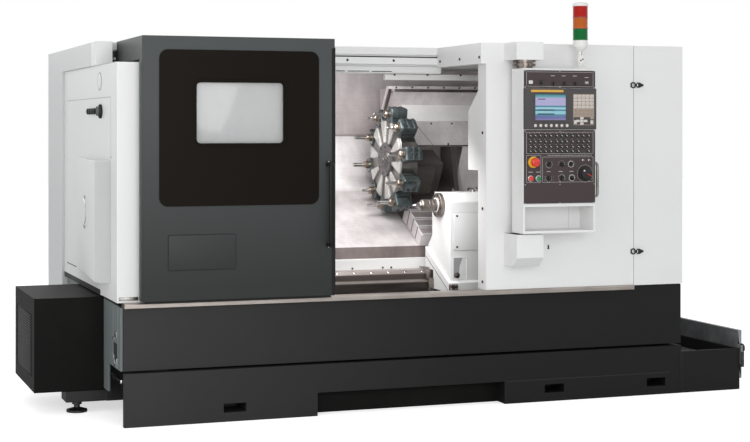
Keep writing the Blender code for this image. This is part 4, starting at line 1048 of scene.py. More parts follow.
def panel_key_shapes():
    """Printed frames and generic marks, the function keys with their lights, and the panel's screws."""
    frames = [line_box(526.6, 71.8, 593.4, 86.4), line_box(526.6, 132.0, 593.4, 153.4),
              line_box(526.6, 154.9, 541.0, 182.0), line_box(542.4, 156.6, 593.4, 182.0)]
    dashes = [(548.0 + 1.45 * k, 155.1) for k in range(31)]
    frames.append(spots(mark(0.0045, 0.0026, 0.0004), dashes))
    labels = [(538.5, 132.0), (562.5, 132.0), (584.5, 132.0), (552.8, 75.6), (563.6, 75.6), (574.8, 75.6),
              (586.8, 77.0), (533.8, 156.3), (530.8, 171.6), (538.2, 171.6), (548.6, 171.2), (560.6, 171.2),
              (571.4, 171.2)]
    frames.append(spots(mark(0.024, 0.0022, 0.0004), labels))
    key_rows = (135.5, 141.3, 146.6, 151.0)
    columns = (530.5, 535.4, 540.4, 545.7, 550.8, 557.0, 561.8, 566.8, 572.6, 578.4, 583.5, 588.8)
    keys = [(c, r) for r in key_rows for c in columns if not (r > 150 and c == 583.5)]
    tick = np.array([(-0.0052, 0.003), (0.0005, 0.0042), (0.005, -0.003), (0.003, -0.004), (-0.0012, 0.0014),
                     (-0.005, 0.001)])
    frames.append(spots(prism(tick, 0.0003), keys, PLATE_FACE - FUNCTION_KEY))
    frames.append(spots(mark(0.0065, 0.0012), [(c - 0.7, r - 2.35) for c, r in keys]))
    piece("panel_marks", frames, MARK, "pendant")
    piece("function_keys", spots(plate(0.0205, 0.017, FUNCTION_KEY, 0.0022, 0.0012, 3), keys), KEY_BLACK,
          "pendant")
    piece("key_lights", spots(turned([(0.0012, 0), (0.0012, 0.0004)], 8),
                              [(c + 1.05, r - 0.95) for c, r in keys[::5]], PLATE_FACE - FUNCTION_KEY), RED,
          "pendant")
    fixings = [(c, r) for r in (71.0, 87.0, 131.0, 184.0, 202.6)
               for c in (525.3, 559.8, 594.3)] + [(559.8, 181.2)]
    piece("panel_screws", spots(screw(0.0032, 0.0016, 10), fixings), CHROME, "pendant")


def switch_shapes():
    """Top row of switches, emergency stop, and the two round buttons with bright bezels."""
    square = [on_panel(frame_plate(0.024, 0.02, 0.0022, 0.003, 0.003, 0.0008), 530.9, 82.2),
              on_panel(frame_plate(0.021, 0.017, 0.0018, 0.0026, 0.003, 0.0008), 586.8, 82.2)]
    piece("switch_frames", square, CHROME, "pendant")
    piece("push_button", [on_panel(plate(0.0195, 0.0155, 0.005, 0.002, 0.0016), 530.9, 82.2),
                          on_panel(plate(0.01, 0.008, 0.003, 0.001, 0.001), 586.8, 82.2)], MARK,
          "pendant")
    levers = []
    for column, row in ((541.0, 82.2), (553.2, 83.2), (564.1, 83.2), (575.0, 83.2)):
        levers.append(on_panel(turned([(0.0108, 0), (0.0108, 0.003), (0.0085, 0.004)], 20), column, row))
        levers.append(on_panel(plate(0.0075, 0.018, 0.014, 0.0035, 0.003), column, row))
    levers.append(on_panel(plate(0.005, 0.024, 0.006, 0.002, 0.002), 541.4, 82.8, PLATE_FACE - 0.006))
    piece("switch_levers", levers, KEY_BLACK, "pendant")
    stop_at = (533.23, 161.8)
    stop = on_panel(turned([(0.0298, 0.0003), (0.0298, 0.0075), (0.028, 0.0098), (0.019, 0.0102)], 40),
                    *stop_at, PANEL_FACE)
    piece("stop_collar", stop, YELLOW, "pendant", replaces="emergency_stop")
    head = on_panel(turned([(0.015, 0.01), (0.016, 0.02), (0.0215, 0.0225), (0.0244, 0.027), (0.0244, 0.034),
                            (0.022, 0.0385), (0.016, 0.0408), (0.006, 0.0415)], 40), *stop_at, PANEL_FACE)
    piece("stop_mushroom", head, RED, "pendant")
    bezel = turned([(0.017, 0), (0.017, 0.0025), (0.0155, 0.0042), (0.0138, 0.0044)], 28)
    piece("button_bezels", spots(bezel, [(530.8, 178.0), (538.4, 178.0)]), CHROME, "pendant")
    cap = turned([(0.0136, 0), (0.0136, 0.008), (0.0115, 0.0096), (0.003, 0.0102)], 28)
    piece("stop_button", spots(cap, [(530.8, 178.0)]), RED, "pendant")
    piece("start_button", spots(cap, [(538.4, 178.0)]), GREEN, "pendant")


def dial_shapes():
    """Rotary switches with their scales, and two toggle switches."""
    dials = ((549.0, 164.0, 14, -215, 35), (561.6, 164.0, 7, 0, 180), (571.0, 164.0, 9, -40, 220),
             (548.6, 177.8, 8, -200, 20), (561.7, 177.8, 15, -30, 210), (571.9, 177.8, 9, -60, 200))
    grip = [turned([(0.0128, 0), (0.0128, 0.0022), (0.011, 0.0036)], 24),
            plate(0.0086, 0.0245, 0.014, 0.0036, 0.0026)]
    tilt = (50, -40, 35, 0, 10, -40)
    knobs, scale, pointers = [], [], []
    for (column, row, count, start, end), lean in zip(dials, tilt):
        spin = tilted(-radians(lean))
        at = panel_place(column, row, PLATE_FACE)
        knobs += [moved(grip[0], at, FRONT), moved(grip[1], at, spin)]
        line = plate(0.0014, 0.009, 0.0004, 0.0004, 0.0002, 1)
        pointers.append(moved(line, at + spin[1] * 0.0045 + [0, -0.0125, 0], spin))
        scale += ticks(column, row, 0.019, count, start, end)
    piece("rotary_switches", knobs, KEY_BLACK, "pendant")
    rings = [on_panel(frame_plate(0.034, 0.034, 0.0022, 0.0004, 0.017, 0.0001, 8), c, r)
             for c, r in ((571.0, 164.0), (571.9, 177.8))]
    scale += [spots(mark(0.0016, 0.0016), [(544.6 + 0.9 * k, 176.0 + 1.5 * j) for k in (0, 10)
                                           for j in range(4)])]
    hand = (585.26, 173.6)
    scale += ticks(*hand, 0.0465, 44, 0, 352, 0.0042, 0.0012) + rings
    piece("switch_scales", scale + pointers, MARK, "pendant")
    toggles = [on_panel(turned([(0.0055, 0), (0.0055, 0.002), (0.0042, 0.003)], 16), c, 160.0)
               for c in (582.9, 588.9)]
    piece("toggle_nuts", toggles, CHROME, "pendant")
    piece("toggle_levers", [moved(turned([(0.0018, 0), (0.0026, 0.012), (0.002, 0.014)], 12),
                                  panel_place(c, 160.0, PLATE_FACE), FRONT) for c in (582.9, 588.9)], CHROME,
          "pendant")


def wheel_shapes():
    """Hand wheel with a finely knurled rim, its index line and its dimple."""
    turn = np.arange(96) * 2 * pi / 96
    rough = 1 - 0.012 * (np.arange(96) % 2)
    rings = []
    for radius, height in ((0.0405, 0.0006), (0.0405, 0.009), (0.0395, 0.011), (0.0345, 0.012),
                           (0.033, 0.0205), (0.03, 0.0235), (0.012, 0.0245)):
        grip_here = rough if radius > 0.031 and height > 0.0115 else 1.0
        rings.append(np.c_[np.cos(turn) * radius * grip_here, np.sin(turn) * radius * grip_here,
                           np.full(96, height)])
    piece("hand_wheel", moved(skin(rings), WHEEL, FRONT), KEY_BLACK, "handwheel",
          replaces="handwheel")
    spin = tilted(radians(-28))
    wheel_face = WHEEL - [0, 0.0243, 0]
    index = moved(plate(0.03, 0.0036, 0.001, 0.0012, 0.0006), wheel_face + spin[0] * 0.014, spin)
    piece("wheel_index", index, RED, "handwheel")
    dimple = turned([(0.0042, 0), (0.0055, 0.0012), (0.0035, 0.0016)], 16)
    piece("wheel_dimple", moved(dimple, wheel_face + [-0.018, 0, 0.0156], FRONT), CHROME,
          "handwheel")


def handle_shapes():
    """Pull handle of one bent tube with feet, lip under the panel and inner seam of the shelf."""
    reach, level = 2.5775, -0.134
    grip = tube(bent([(2.5326, level, 1.303), (reach, level, 1.303), (reach, level, 1.119),
                      (2.5326, level, 1.119)], 0.022), 0.0078)
    feet = [moved(turned([(0.0115, 0), (0.0115, 0.004), (0.009, 0.006)], 20), (2.5324, level, z), RIGHT)
            for z in (1.303, 1.119)]
    piece("pull_handle", [grip] + feet, HANDLE_STEEL, "pendant", replaces="pendant_handle")
    lip = [moved(plate(0.432, 0.01, 0.0012, 0.001, 0.0008), (2.316, -0.1938, 1.0815), FRONT)]
    piece("shelf_lip", lip, WHITE, "pendant")
    seam = [moved(plate(0.0016, 0.122, 0.0006, 0.0004, 0.0002), (2.452, -0.0452, 1.008), FRONT)]
    piece("shelf_seam", seam, SEAM_GREY, "pendant")


def pendant_mount_shapes():
    """Dark steel pivot rings under the hood with their notches, the lower pivot, a dark plate as shadow on
    the bracket's top, and the keyhole.
    """
    rings = [(0.0456, 1.8068), (0.0456, 1.8197), (0.0606, 1.8199), (0.0606, 1.8341), (0.0456, 1.8343),
             (0.0456, 1.8417), (0.0606, 1.8419), (0.0606, 1.8527), (0.045, 1.8528)]
    pivot = moved(turned(rings, 48), PIVOT)
    piece("pivot_rings", pivot, BROWN_STEEL)
    notch = [moved(plate(0.004, 0.01, 0.002, 0.001, 0.0005),
                   PIVOT + [-0.0605 * sin(t), -0.0605 * cos(t), 1.827],
                   np.array([[cos(t), -sin(t), 0], [0, 0, 1], [-sin(t), -cos(t), 0]]))
             for t in (0.1, 0.55, -0.4)]
    piece("pivot_notches", notch, BLACK_STEEL)
    lower = moved(turned([(0.0456, 0.9242), (0.0456, 0.9294), (0.043, 0.9296)], 40), PIVOT)
    piece("lower_pivot", lower, BLACK_STEEL)
    piece("bracket_top_shadow", box((2.088, -0.1535, 0.9241), (2.237, -0.01, 0.9248), 0.0003), SHADOW_GAP)
    key = [moved(turned([(0.0045, 0), (0.0045, 0.0008)], 16), (2.353, -0.0002, 0.849), FRONT),
           moved(prism([(-0.0032, 0.0), (0.0032, 0.0), (0.0062, -0.02), (-0.0062, -0.02)], 0.0008),
                 (2.353, -0.0002, 0.85), FRONT)]
    piece("hanging_slot", key, SHADOW_GAP)


# Lamp column: its foot on the pendant, and the lamps over it
TOWER = np.array([2.493, -0.1, 1.8063])
LAMP_FOOT = 0.1583
LAMP_PITCH = 0.0613


def signal_shapes():
    """Lamp column: flange, pole with knuckle, ribbed lenses and cap, in place of the plain solids."""
    stem = turned([(0.0445, 0.0), (0.0445, 0.004), (0.042, 0.0065), (0.03, 0.012), (0.0135, 0.016),
                   (0.0135, 0.042), (0.0165, 0.044), (0.02, 0.05), (0.02, 0.066), (0.0165, 0.072),
                   (0.013, 0.074), (0.013, 0.098), (0.0175, 0.102), (0.03, 0.113), (0.0395, 0.1225),
                   (0.0405, 0.126), (0.0405, 0.146), (0.0385, 0.148), (0.0385, 0.1578)], 40)
    piece("tower_stem", moved(stem, TOWER), TOWER_WHITE, "pendant", replaces="signal_stem")
    pivot = turned([(0.024, 0.0), (0.024, 0.0065), (0.021, 0.009), (0.006, 0.0092)], 28)
    piece("tower_pivot", moved(pivot, (2.49, -0.113, 1.8573), FRONT), TOWER_WHITE, "pendant")
    dots = screw_row([(2.49 + a, -0.122, 1.8573 + z) for a, z in ((-0.006, -0.003), (0.006, 0.004))], 0.0048,
                     0.002, 10)
    dots += screw_row([TOWER + [0, -0.0128, z] for z in (0.082, 0.094)], 0.003, 0.002, 10)
    piece("tower_screws", dots, BLACK_STEEL, "pendant")
    lenses = (("green_lamp", GREEN_LENS, "green_lens"), ("amber_lamp", AMBER_LENS, "amber_lens"),
              ("red_lamp", RED_LENS, "red_lens"))
    for k, (node, finish, slot) in enumerate(lenses):
        foot = TOWER + [0, 0, LAMP_FOOT + k * LAMP_PITCH]
        levels = np.linspace(0.0055, 0.058, 36)
        wave = 0.0392 + 0.0006 * np.cos(np.arange(36) * pi)
        profile = [(0.0388, 0.0), (0.0402, 0.0008), (0.0402, 0.0045), *zip(wave, levels), (0.0388, 0.0606)]
        piece(node + "_lens", moved(turned(profile, 40), foot), finish, "pendant", smooth=60,
              replaces=node)
    band = turned([(0.0403, 0), (0.0409, 0.0008), (0.0409, 0.0024), (0.0403, 0.0032)], 40)
    bands = [moved(band, TOWER + [0, 0, LAMP_FOOT + k * LAMP_PITCH - 0.0015]) for k in (1, 2)]
    piece("tower_bands", bands, BEZEL, "pendant")
    cap = turned([(0.0415, 0.0), (0.0428, 0.002), (0.0428, 0.0105), (0.0405, 0.0155), (0.034, 0.019),
                  (0.02, 0.0206), (0.006, 0.0209)], 40)
    piece("tower_cap", moved(cap, TOWER + [0, 0, LAMP_FOOT + 3 * LAMP_PITCH]), TOWER_WHITE,
          "pendant", replaces="signal_cap")


def door_shapes():
    """Film panel, window, cover plate, pull bar, seals and roller mark of the sliding door."""
    x0, x1, z0, z1 = 0.166, 1.007, 1.099, 1.882
    wx0, wx1, wz0, wz1 = 0.354, 0.822, 1.409, 1.724
    wide, tall = wx1 - wx0, wz1 - wz0
    centre = np.array([(wx0 + wx1) / 2, 0, (wz0 + wz1) / 2])
    outer = rounded(x1 - x0, z1 - z0, 0.045, 10) + [(x0 + x1) / 2, (z0 + z1) / 2]
    inner = rounded(wide, tall, 0.028, 10) + centre[[0, 2]]
    rings = []
    for outline, level in ((outer, -0.0502), (outer, -0.0532), (outer, -0.054), (inner, -0.054),
                           (inner, -0.03)):
        rings.append(np.c_[outline[:, 0], np.full(len(outline), level), outline[:, 1]])
    piece("film_panel", skin(rings, closed_ends=False), FILM, "main_door",
          replaces="door_panel")
    gasket = moved(frame_plate(wide + 0.022, tall + 0.022, 0.011, 0.0042, 0.036, 0.0018, 10),
                   centre + [0, -0.054, 0], FRONT)
    lip = moved(frame_plate(wide + 0.001, tall + 0.001, 0.005, 0.016, 0.026, 0.0008, 10),
                centre + [0, -0.036, 0], FRONT)
    piece("window_gasket", [gasket, lip], FILM, "main_door")
    pane = moved(plate(wide - 0.002, tall - 0.002, 0.006, 0.024, 0.0006, 8), centre + [0, -0.024, 0], FRONT)
    piece("window_pane", pane, GLASS, "main_door", replaces="door_window")
    # Cover plate with a quarter-round groove round it
    cover_at = (0.3875, DOOR_FACE, 0.868)
    cover = moved(plate(0.349, 0.174, 0.004, 0.01, 0.0022), cover_at, FRONT)
    groove = moved(frame_plate(0.357, 0.182, 0.004, 0.0006, 0.014, 0.0003), cover_at, FRONT)
    piece("door_cover_plate", cover, DOOR_GREY, "main_door")
    piece("door_cover_gap", groove, SHADOW_GAP, "main_door")
    # Pull bar: a flat bar bent back to the door at both ends
    bar_x, bar_front, low, high = 1.06, -0.099, 0.89, 1.305
    path = bent([(bar_x, DOOR_FACE, low), (bar_x, bar_front, low), (bar_x, bar_front, high),
                 (bar_x, DOOR_FACE, high)], 0.022, 8)
    section = rounded(0.028, 0.0165, 0.006, 4)
    run = np.gradient(path, axis=0)
    run /= np.linalg.norm(run, axis=1)[:, None]
    side = np.tile([1.0, 0, 0], (len(path), 1))
    other = np.cross(run, side)
    rings = path[:, None] + side[:, None] * section[None, :, :1] + other[:, None] * section[None, :, 1:]
    piece("pull_bar", skin(rings), BAR_BLACK, "main_door", smooth=50, replaces="door_handle")
    feet = [moved(plate(0.03, 0.034, 0.003, 0.006, 0.0012), (bar_x, DOOR_FACE, z), FRONT)
            for z in (low, high)]
    piece("pull_bar_feet", feet, BLACK_PLASTIC, "main_door")
    screwed("pull_bar_screws", [(bar_x, DOOR_FACE - 0.003, z + d) for z in (low, high)
                                for d in (-0.0125, 0.0125)], 0.003, 0.002, 10, finish=CHROME,
            body="main_door")
    # Rubber edge on the closing side, folded edge on the other, and wear strip under the leaf
    seal = [box((1.0785, -0.0525, 0.632), (1.0945, -0.0495, 1.9), 0.001),
            box((1.088, -0.05, 0.632), (1.0985, -0.006, 1.905), 0.0012)]
    piece("closing_edge", seal, RUBBER, "main_door")
    piece("left_fold", box((0.078, -0.049, 0.634), (0.0806, 0.0065, 1.828), 0.0008), DOOR_GREY,
          "main_door")
    piece("sill_brush", box((0.095, -0.046, 0.6195), (1.075, -0.04, 0.629), 0.0008), RUBBER,
          "main_door")
    # Roller carrier behind the canopy's left cheek
    piece("roller_carrier", box((0.051, 0.546, 1.841), (0.0797, 0.5602, 1.899), 0.002), BLACK_PLASTIC,
          "main_door")
    wheel = [moved(turned([(0.0075, 0.0), (0.0075, 0.0022), (0.005, 0.0026)], 20), (0.0665, 0.5462, 1.859),
                   FRONT)]
    piece("roller_mark", wheel, KEY_LIGHT, "main_door")


def header_shapes():
    """Trim of the rail over the opening: grooves, slots and screws, and the work lamp under it."""
    piece("rail_groove", box((0.06, 0.5696, 1.8895), (1.9795, 0.5704, 1.896), 0.0003), SHADOW_GAP)
    piece("rail_line", box((0.06, 0.5696, 1.838), (1.9795, 0.5704, 1.842), 0.0003), NICHE_SHADE)
    dashes = [box((x, 0.5792, 1.8085), (x + length, 0.58, 1.8125), 0.0003)
              for x, length in ((1.16, 0.06), (1.24, 0.083), (1.334, 0.055), (1.405, 0.129), (1.552, 0.12))]
    piece("rail_slots", dashes, SHADOW_GAP)
    screwed("rail_screws", [(x, 0.5698, 1.872) for x in (0.28, 0.56, 0.84, 1.12, 1.4, 1.68, 1.957)], 0.0072,
            0.002, 14)
    # Work lamp along the rail's underside
    piece("work_lamp", box((1.646, 0.6215, 1.765), (2.3, 0.652, 1.7985), 0.004), TOWER_WHITE)
    screwed("work_lamp_screws", [(x, 0.6215, 1.7945) for x in (1.707, 1.912, 2.12)], 0.0062, 0.003)


def front_shapes():
    """Screws of the pillar and cheek, latches of the access door, seams, painted shade in the toe recess, and
    the tray's ring.
    """
    pillar = screw_row([(1.9798, 0.043, z) for z in (1.464, 1.055, 0.66)], 0.0085, 0.004, 14, LEFT)
    pillar += screw_row([(1.9498, y, z) for y, z in ((0.022, 1.871), (0.269, 1.8705), (0.53, 1.869))], 0.008,
                        0.004, 14, LEFT)
    piece("pillar_screws", pillar, BLACK_STEEL)
    piece("cabinet_seam", box((2.8838, -0.0004, 0.6185), (2.8856, 0.001, 1.948), 0.0003), SEAM_GREY)
    for z, name in ((1.728, "upper"), (0.804, "lower")):
        keeper = [moved(frame_plate(0.03, 0.034, 0.0065, 0.007, 0.013, 0.002, 6), (2.88, -0.0003, z), FRONT),
                  moved(plate(0.006, 0.024, 0.004, 0.002, 0.001), (2.8665, -0.0003, z), FRONT)]
        piece("latch_keeper_" + name, keeper, BLACK_STEEL)
        lever = [moved(plate(0.0315, 0.029, 0.0165, 0.01, 0.003, 4), (2.9072, -0.0003, z), FRONT),
                 moved(prism([(0.0, 0.0115), (0.018, 0.0045), (0.021, 0.0), (0.018, -0.0045), (0.0, -0.0115)],
                             0.008), (2.9225, -0.0003, z), FRONT)]
        piece("latch_lever_" + name, lever, BLACK_PLASTIC, "service_door")
        mark = moved(plate(0.005, 0.016, 0.0008, 0.002, 0.0003), (2.8985, -0.0168, z), FRONT)
        piece("latch_mark_" + name, mark, CHROME, "service_door")
    piece("tank_seam", box((2.105, -0.0007, 0.119), (3.117, 0.0005, 0.123), 0.0003), SHADOW_GAP)
    # Black plate at the back of the toe recess: painted shade
    piece("toe_recess_shade", box((1.0215, 0.0885, 0.001), (2.0885, 0.0899, 0.119), 0.0004), CHILLER_BLACK)
    piece("tank_joint_strap", box((3.178, -0.0012, 0.002), (3.203, 0.0005, 0.2335), 0.0004), BASE_GREY)
    # Ring handle on the tray's end wall
    turn = np.linspace(0, 2 * pi, 29)[:-1]
    ring = np.stack([np.full(28, 3.5935), 0.002 + 0.0185 * np.cos(turn), 0.235 + 0.0205 * np.sin(turn)],
                    axis=-1)
    small = np.linspace(0, 2 * pi, 9)[:-1]
    outward = np.stack([np.zeros(28), np.cos(turn), np.sin(turn)], axis=-1)
    ring = closed([ring + outward * 0.0046 * cos(a) + np.array([0.0046 * sin(a), 0, 0]) for a in small])
    hook = box((3.5765, -0.0145, 0.128), (3.5955, -0.003, 0.215), 0.002)
    piece("tray_ring", [ring, hook], BLACK_STEEL)


def side_strip(x, height, low, high, bevel=0.0003, sunk=0.0):
    """Block that stands off a left-facing sheet at x, between two corners in (y, z)."""
    return box((x - height, *low), (x + sunk, *high), bevel)


def left_end_shapes():
    """Seams, latch, drop handle and bare roundel on the left end, side plate and the cooler's grille."""
    face, latch = -0.0302, 1.579
    teeth_at = (0.735, 0.675, 0.615, 0.555)
    roundel = (face, 0.46, 1.7345)
    seams = [side_strip(face, 0.0006, (0.035, 1.8195), (0.936, 1.822), sunk=0.001),
             side_strip(face, 0.0008, (0.179, 1.646), (1.404, 1.6495), sunk=0.001),
             side_strip(face, 0.0006, (0.176, 1.324), (0.1785, 1.648), sunk=0.001)]
    piece("side_seams", seams, SEAM_GREY)
    slots = [side_strip(face, 0.0008, (1.13, 0.7015), (1.42, 0.706), sunk=0.001),
             side_strip(face, 0.0008, (0.166, 1.338), (0.173, 1.346), sunk=0.001)]
    piece("side_slots", slots, SHADOW_GAP)
    # Sheet on the side door's folded front, painted darker than the rest as the shade on that face
    near, fold = np.array([-0.0335, 0.1815]), np.array([-0.0982, 0.249])
    out = np.array([near[1] - fold[1], fold[0] - near[0]]) / np.linalg.norm(fold - near)
    ring = np.array([place + out * off for place, off in ((near, 0.0002), (fold, 0.0002), (fold, 0.001),
                                                          (near, 0.001))])
    sheet = skin([np.c_[ring, np.full(4, z)] for z in (0.7055, 1.3195)])
    piece("side_door_fold_shade", sheet, FOLD_SHADE)
    # Toggle latch over the side door: toothed link and round knob
    base = moved(plate(0.3, 0.026, 0.006, 0.006, 0.002), (face, 0.59, latch), LEFT)
    teeth = [moved(turned([(0.0165, 0), (0.0165, 0.01), (0.012, 0.013)], 12), (face - 0.004, y, latch), LEFT)
             for y in teeth_at]
    bar = [moved(plate(0.034, 0.048, 0.012, 0.006, 0.003), (face - 0.003, 0.478, latch), LEFT)]
    knob_at = np.array([face, 0.418, 1.577])
    points, faces = moved(turned([(0.034, 0), (0.034, 0.01), (0.028, 0.018), (0.014, 0.02)], 24), (0, 0, 0),
                          LEFT)
    knob = (points * [1, 1, 0.88] + knob_at, faces)
    lobes = [moved(turned([(0.016, 0), (0.016, 0.012), (0.012, 0.015)], 12), knob_at + [0, 0, d], LEFT)
             for d in (-0.021, 0.021)]
    piece("side_latch", [base] + teeth + bar + [knob] + lobes, BLACK_PLASTIC)
    screwed("side_latch_pins", [(face - 0.0165, y, latch) for y in teeth_at], 0.005, 0.003, 12, LEFT)
    ring = moved(turned([(0.048, 0), (0.048, 0.0014), (0.046, 0.0022), (0.0435, 0.002), (0.043, 0.001)], 48),
                 roundel, LEFT)
    piece("blank_roundel", ring, NICHE_SHADE)
    inner = moved(turned([(0.0425, 0), (0.0425, 0.0016), (0.041, 0.002)], 48), roundel, LEFT)
    piece("blank_roundel_face", inner, WHITE)
    # Drop handle on the bulged door's rear leaf
    foot = np.array([-0.0628, 0.707, 0.0])
    at = [foot + [0, 0, z] for z in (0.957, 1.12)]
    path = bent([at[0], (-0.08, 0.66, 0.962), (-0.09, 0.545, 0.995), (-0.09, 0.545, 1.082),
                 (-0.08, 0.66, 1.115), at[1]], 0.03)
    piece("bail_handle", tube(path, 0.0025, 12), GROUND)
    feet = [tube([f + [0.002, 0, 0], f - [0.001, 0, 0], f - [0.004, 0, 0]], 0.009, 16) for f in at]
    piece("bail_feet", feet, GROUND)
    # Black strip painted as the shadow in the gap under the cover, strip at the headstock's foot
    piece("cover_foot_shadow", side_strip(face, 0.0004, (0.442, 0.6155), (1.508, 0.644), sunk=0.0004),
          SHADOW_GAP)
    piece("headstock_foot_strip", box((-0.021, 0.0272, 0.629), (0.078, 0.0299, 0.647), 0.0008), HANDLE_STEEL)
    # Hinge, slot and bracket on the grey side plate
    plate_x = -0.0124
    holes = [side_strip(plate_x, 0.001, (0.106, 0.343), (0.19, 0.405), 0.0004, sunk=0.0001),
            side_strip(plate_x, 0.001, (0.098, 0.318), (0.165, 0.343), 0.0004, sunk=0.0001)]
    piece("side_plate_hole", holes, SHADOW_GAP)
    bits = [side_strip(plate_x, 0.0035, (0.12, 0.43), (0.15, 0.462), 0.001),
            side_strip(plate_x, 0.0035, (0.175, 0.418), (0.2, 0.432), 0.001),
            side_strip(plate_x, 0.0035, (0.105, 0.281), (0.118, 0.33), 0.001),
            side_strip(plate_x, 0.0035, (0.14, 0.283), (0.165, 0.305), 0.001)]
    bits += [tube([(plate_x - 0.002, 0.15, 0.3), (plate_x - 0.002, 0.17, 0.32),
                   (plate_x - 0.002, 0.196, 0.345)], 0.0025, 8)]
    piece("side_hinge", bits, CHROME)
    seam = [side_strip(plate_x, 0.0006, (0.205, 0.285), (0.2065, 0.59)),
            side_strip(plate_x, 0.0006, (0.094, 0.285), (0.0955, 0.59))]
    piece("side_plate_seams", seam, SEAM_GREY)
    piece("tank_end_rail", box((-0.012, 0.0305, 0.219), (-0.0006, 0.284, 0.235), 0.001), GROUND)
    # Perforated grille, in place of the solid's louvres
    piece("grille_sheet", box((-0.3748, 0.5106, 0.1906), (-0.3574, 1.0394, 0.5174), 0.0006), CHILLER_BLACK,
          replaces="chiller_grille")
    hole = moved(turned([(0.0048, 0), (0.0048, 0.0006)], 6), (-0.3747, 0, 0), LEFT)
    holes = copies(hole, [(0, 0.59 + 0.0175 * a, 0.205 + 0.0135 * b) for a in range(25) for b in range(23)])
    piece("grille_holes", holes, PERFORATION)


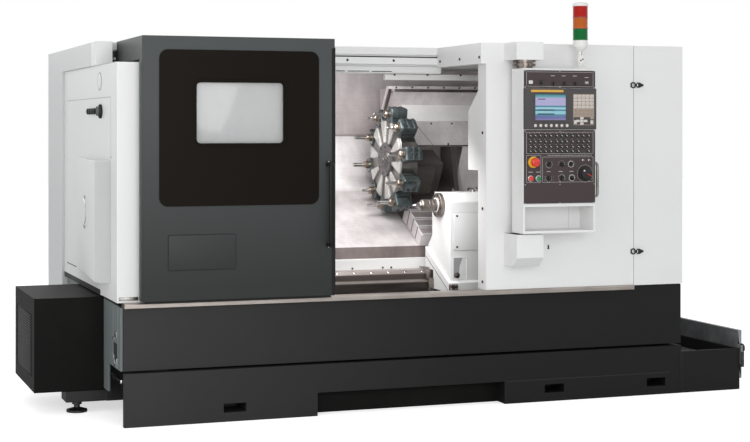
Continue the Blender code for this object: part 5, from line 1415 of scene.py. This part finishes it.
def studio():
    """Camera at the photograph's angle, pale floor, and soft lamps at a plain level."""
    camera = bpy.data.cameras.new("camera")
    camera.sensor_width = 36.0
    camera.lens = 71.8
    camera.shift_x = 0.127
    camera.shift_y = -0.125
    eye = bpy.data.objects.new("camera", camera)
    eye.location = (-3.18, -7.507, 1.494)
    eye.rotation_euler = (radians(90), 0, radians(-18.21))
    bpy.context.scene.collection.objects.link(eye)
    bpy.context.scene.camera = eye

    lamps = (
        ("softbox_left", (-5.2, -4.6, 3.2), (-0.3, 0.0, 0.8), 5.0, 87.0),
        ("softbox_right", (4.5, -5.5, 3.6), (0.6, 0.0, 0.9), 4.5, 22.0),
        ("softbox_top", (0.2, -0.6, 5.2), (0.0, 0.3, 0.8), 4.0, 22.0),
        ("softbox_back", (-2.0, 6.5, 4.0), (0.0, 1.0, 0.9), 4.0, 80.0),
        ("softbox_front", (-1.2, -6.5, 2.0), (0.3, 0.5, 1.1), 3.0, 136.0),
        ("work_lamp_front", (-0.095, 0.5, 1.76), (-0.095, 1.05, 0.9), 0.5, 10.5),
        ("work_lamp_low", (0.0, 0.12, 1.25), (0.42, 0.5, 0.75), 0.35, 3.0),
        ("softbox_low", (-6.5, -1.5, 0.9), (-1.5, 0.6, 0.5), 2.5, 34.0),
    )
    for name, at, aim, size, power in lamps:
        lamp = bpy.data.lights.new(name, "AREA")
        lamp.size = size
        lamp.energy = power
        holder = bpy.data.objects.new(name, lamp)
        holder.location = at
        way = np.array(aim) - np.array(at)
        holder.visible_camera = False
        holder.rotation_euler = (
            np.arctan2(np.hypot(way[0], way[1]), -way[2]), 0, np.arctan2(way[0], -way[1]) + pi)
        bpy.context.scene.collection.objects.link(holder)

    world = bpy.data.worlds.new("studio")
    bpy.context.scene.world = world
    world.use_nodes = True
    tree = world.node_tree
    tree.nodes.clear()
    seen, dim, path = (tree.nodes.new("ShaderNode" + kind)
                       for kind in ("Background", "Background", "LightPath"))
    seen.inputs["Strength"].default_value = 1.0
    seen.inputs["Color"].default_value = (1, 1, 1, 1)
    dim.inputs["Color"].default_value = (0.97, 0.985, 1.0, 1)
    dim.inputs["Strength"].default_value = 0.52
    either = sums(tree, "MAXIMUM", path.outputs["Is Camera Ray"], path.outputs["Is Transmission Ray"])
    either = sums(tree, "MAXIMUM", either, path.outputs["Is Glossy Ray"])
    mix, out = tree.nodes.new("ShaderNodeMixShader"), tree.nodes.new("ShaderNodeOutputWorld")
    tree.links.new(either, mix.inputs[0])
    tree.links.new(dim.outputs[0], mix.inputs[1])
    tree.links.new(seen.outputs[0], mix.inputs[2])
    tree.links.new(mix.outputs[0], out.inputs["Surface"])

    points = np.array([[-30, -30, 0], [30, -30, 0], [30, 30, 0], [-30, 30, 0]], float)
    mesh = bpy.data.meshes.new("floor")
    mesh.from_pydata(points.tolist(), [], [(0, 1, 2, 3)])
    made, tree, shader, where = blank("floor_paint")
    cloud = noise(tree, where, 0.6, 3)
    tree.links.new(blended(tree, cloud, (0.88, 0.88, 0.88), (0.94, 0.94, 0.94)), shader.inputs["Base Color"])
    shader.inputs["Roughness"].default_value = 0.9
    path = tree.nodes.new("ShaderNodeLightPath")
    glow = sums(tree, "MULTIPLY", path.outputs["Is Camera Ray"], 0.6)
    tree.links.new(glow, shader.inputs["Emission Strength"])
    shader.inputs["Emission Color"].default_value = (1, 1, 1, 1)
    mesh.materials.append(made)
    floor = bpy.data.objects.new("floor", mesh)
    bpy.context.scene.collection.objects.link(floor)
    bpy.context.scene.view_settings.view_transform = "Standard"


studio()

# Nodes that keep their shape with eased edges, and nodes that only take a finish
for node in ("headstock_cover", "headstock_side_door", "header_rail", "right_cabinet", "end_cabinet",
             "access_door", "pendant_hood", "pendant_bracket", "pendant_shell"):
    eased(node, WHITE)
eased("rear_housing", HOUSING_WHITE)
for node in ("coolant_tank", "chip_tray", "front_panel"):
    eased(node, BASE_GREY, 0.003)
eased("tray_end_wall", STREAKED, 0.002)
eased("door_shell", DOOR_GREY, 0.004)
eased("base_casting", BASE_GREY, 0.004)
eased("side_plate_left", PRIMER_GREY, 0.0015)
eased("coolant_chiller", CHILLER_BLACK, 0.003)
eased("sill_rail", SILL_STEEL, 0.001)
eased("bed_front", WHITE, 0.003)
eased("tailstock_rails", RAIL_OIL_AND_SHADE, 0.001)
eased("tailstock_body", TAILSTOCK_WHITE, 0.004, 3)
eased("saddle", DARK_CASTING, 0.003)
eased("turret_slide", DARK_CASTING, 0.003)
finished("chamber_lining", LINING_PAINTED_LIGHT)
for node in ("spindle_wall", "slide_cover"):
    finished(node, STAINLESS)
finished("tray_screen", STREAKED)
finished("chuck", GROUND)
for node in ("levelling_foot_front_left", "levelling_foot_rear_left", "levelling_foot_front_right",
             "levelling_foot_rear_right"):
    finished(node, BLACK_STEEL)
for node in ("control_panel", "top_panel", "display_unit"):
    finished(node, PANEL_BROWN)

turret_shapes()
turret_slide_shapes()
saddle_shapes()
tailstock_shapes()
display_shapes()
panel_key_shapes()
switch_shapes()
dial_shapes()
wheel_shapes()
handle_shapes()
pendant_mount_shapes()
signal_shapes()
door_shapes()
header_shapes()
front_shapes()
left_end_shapes()
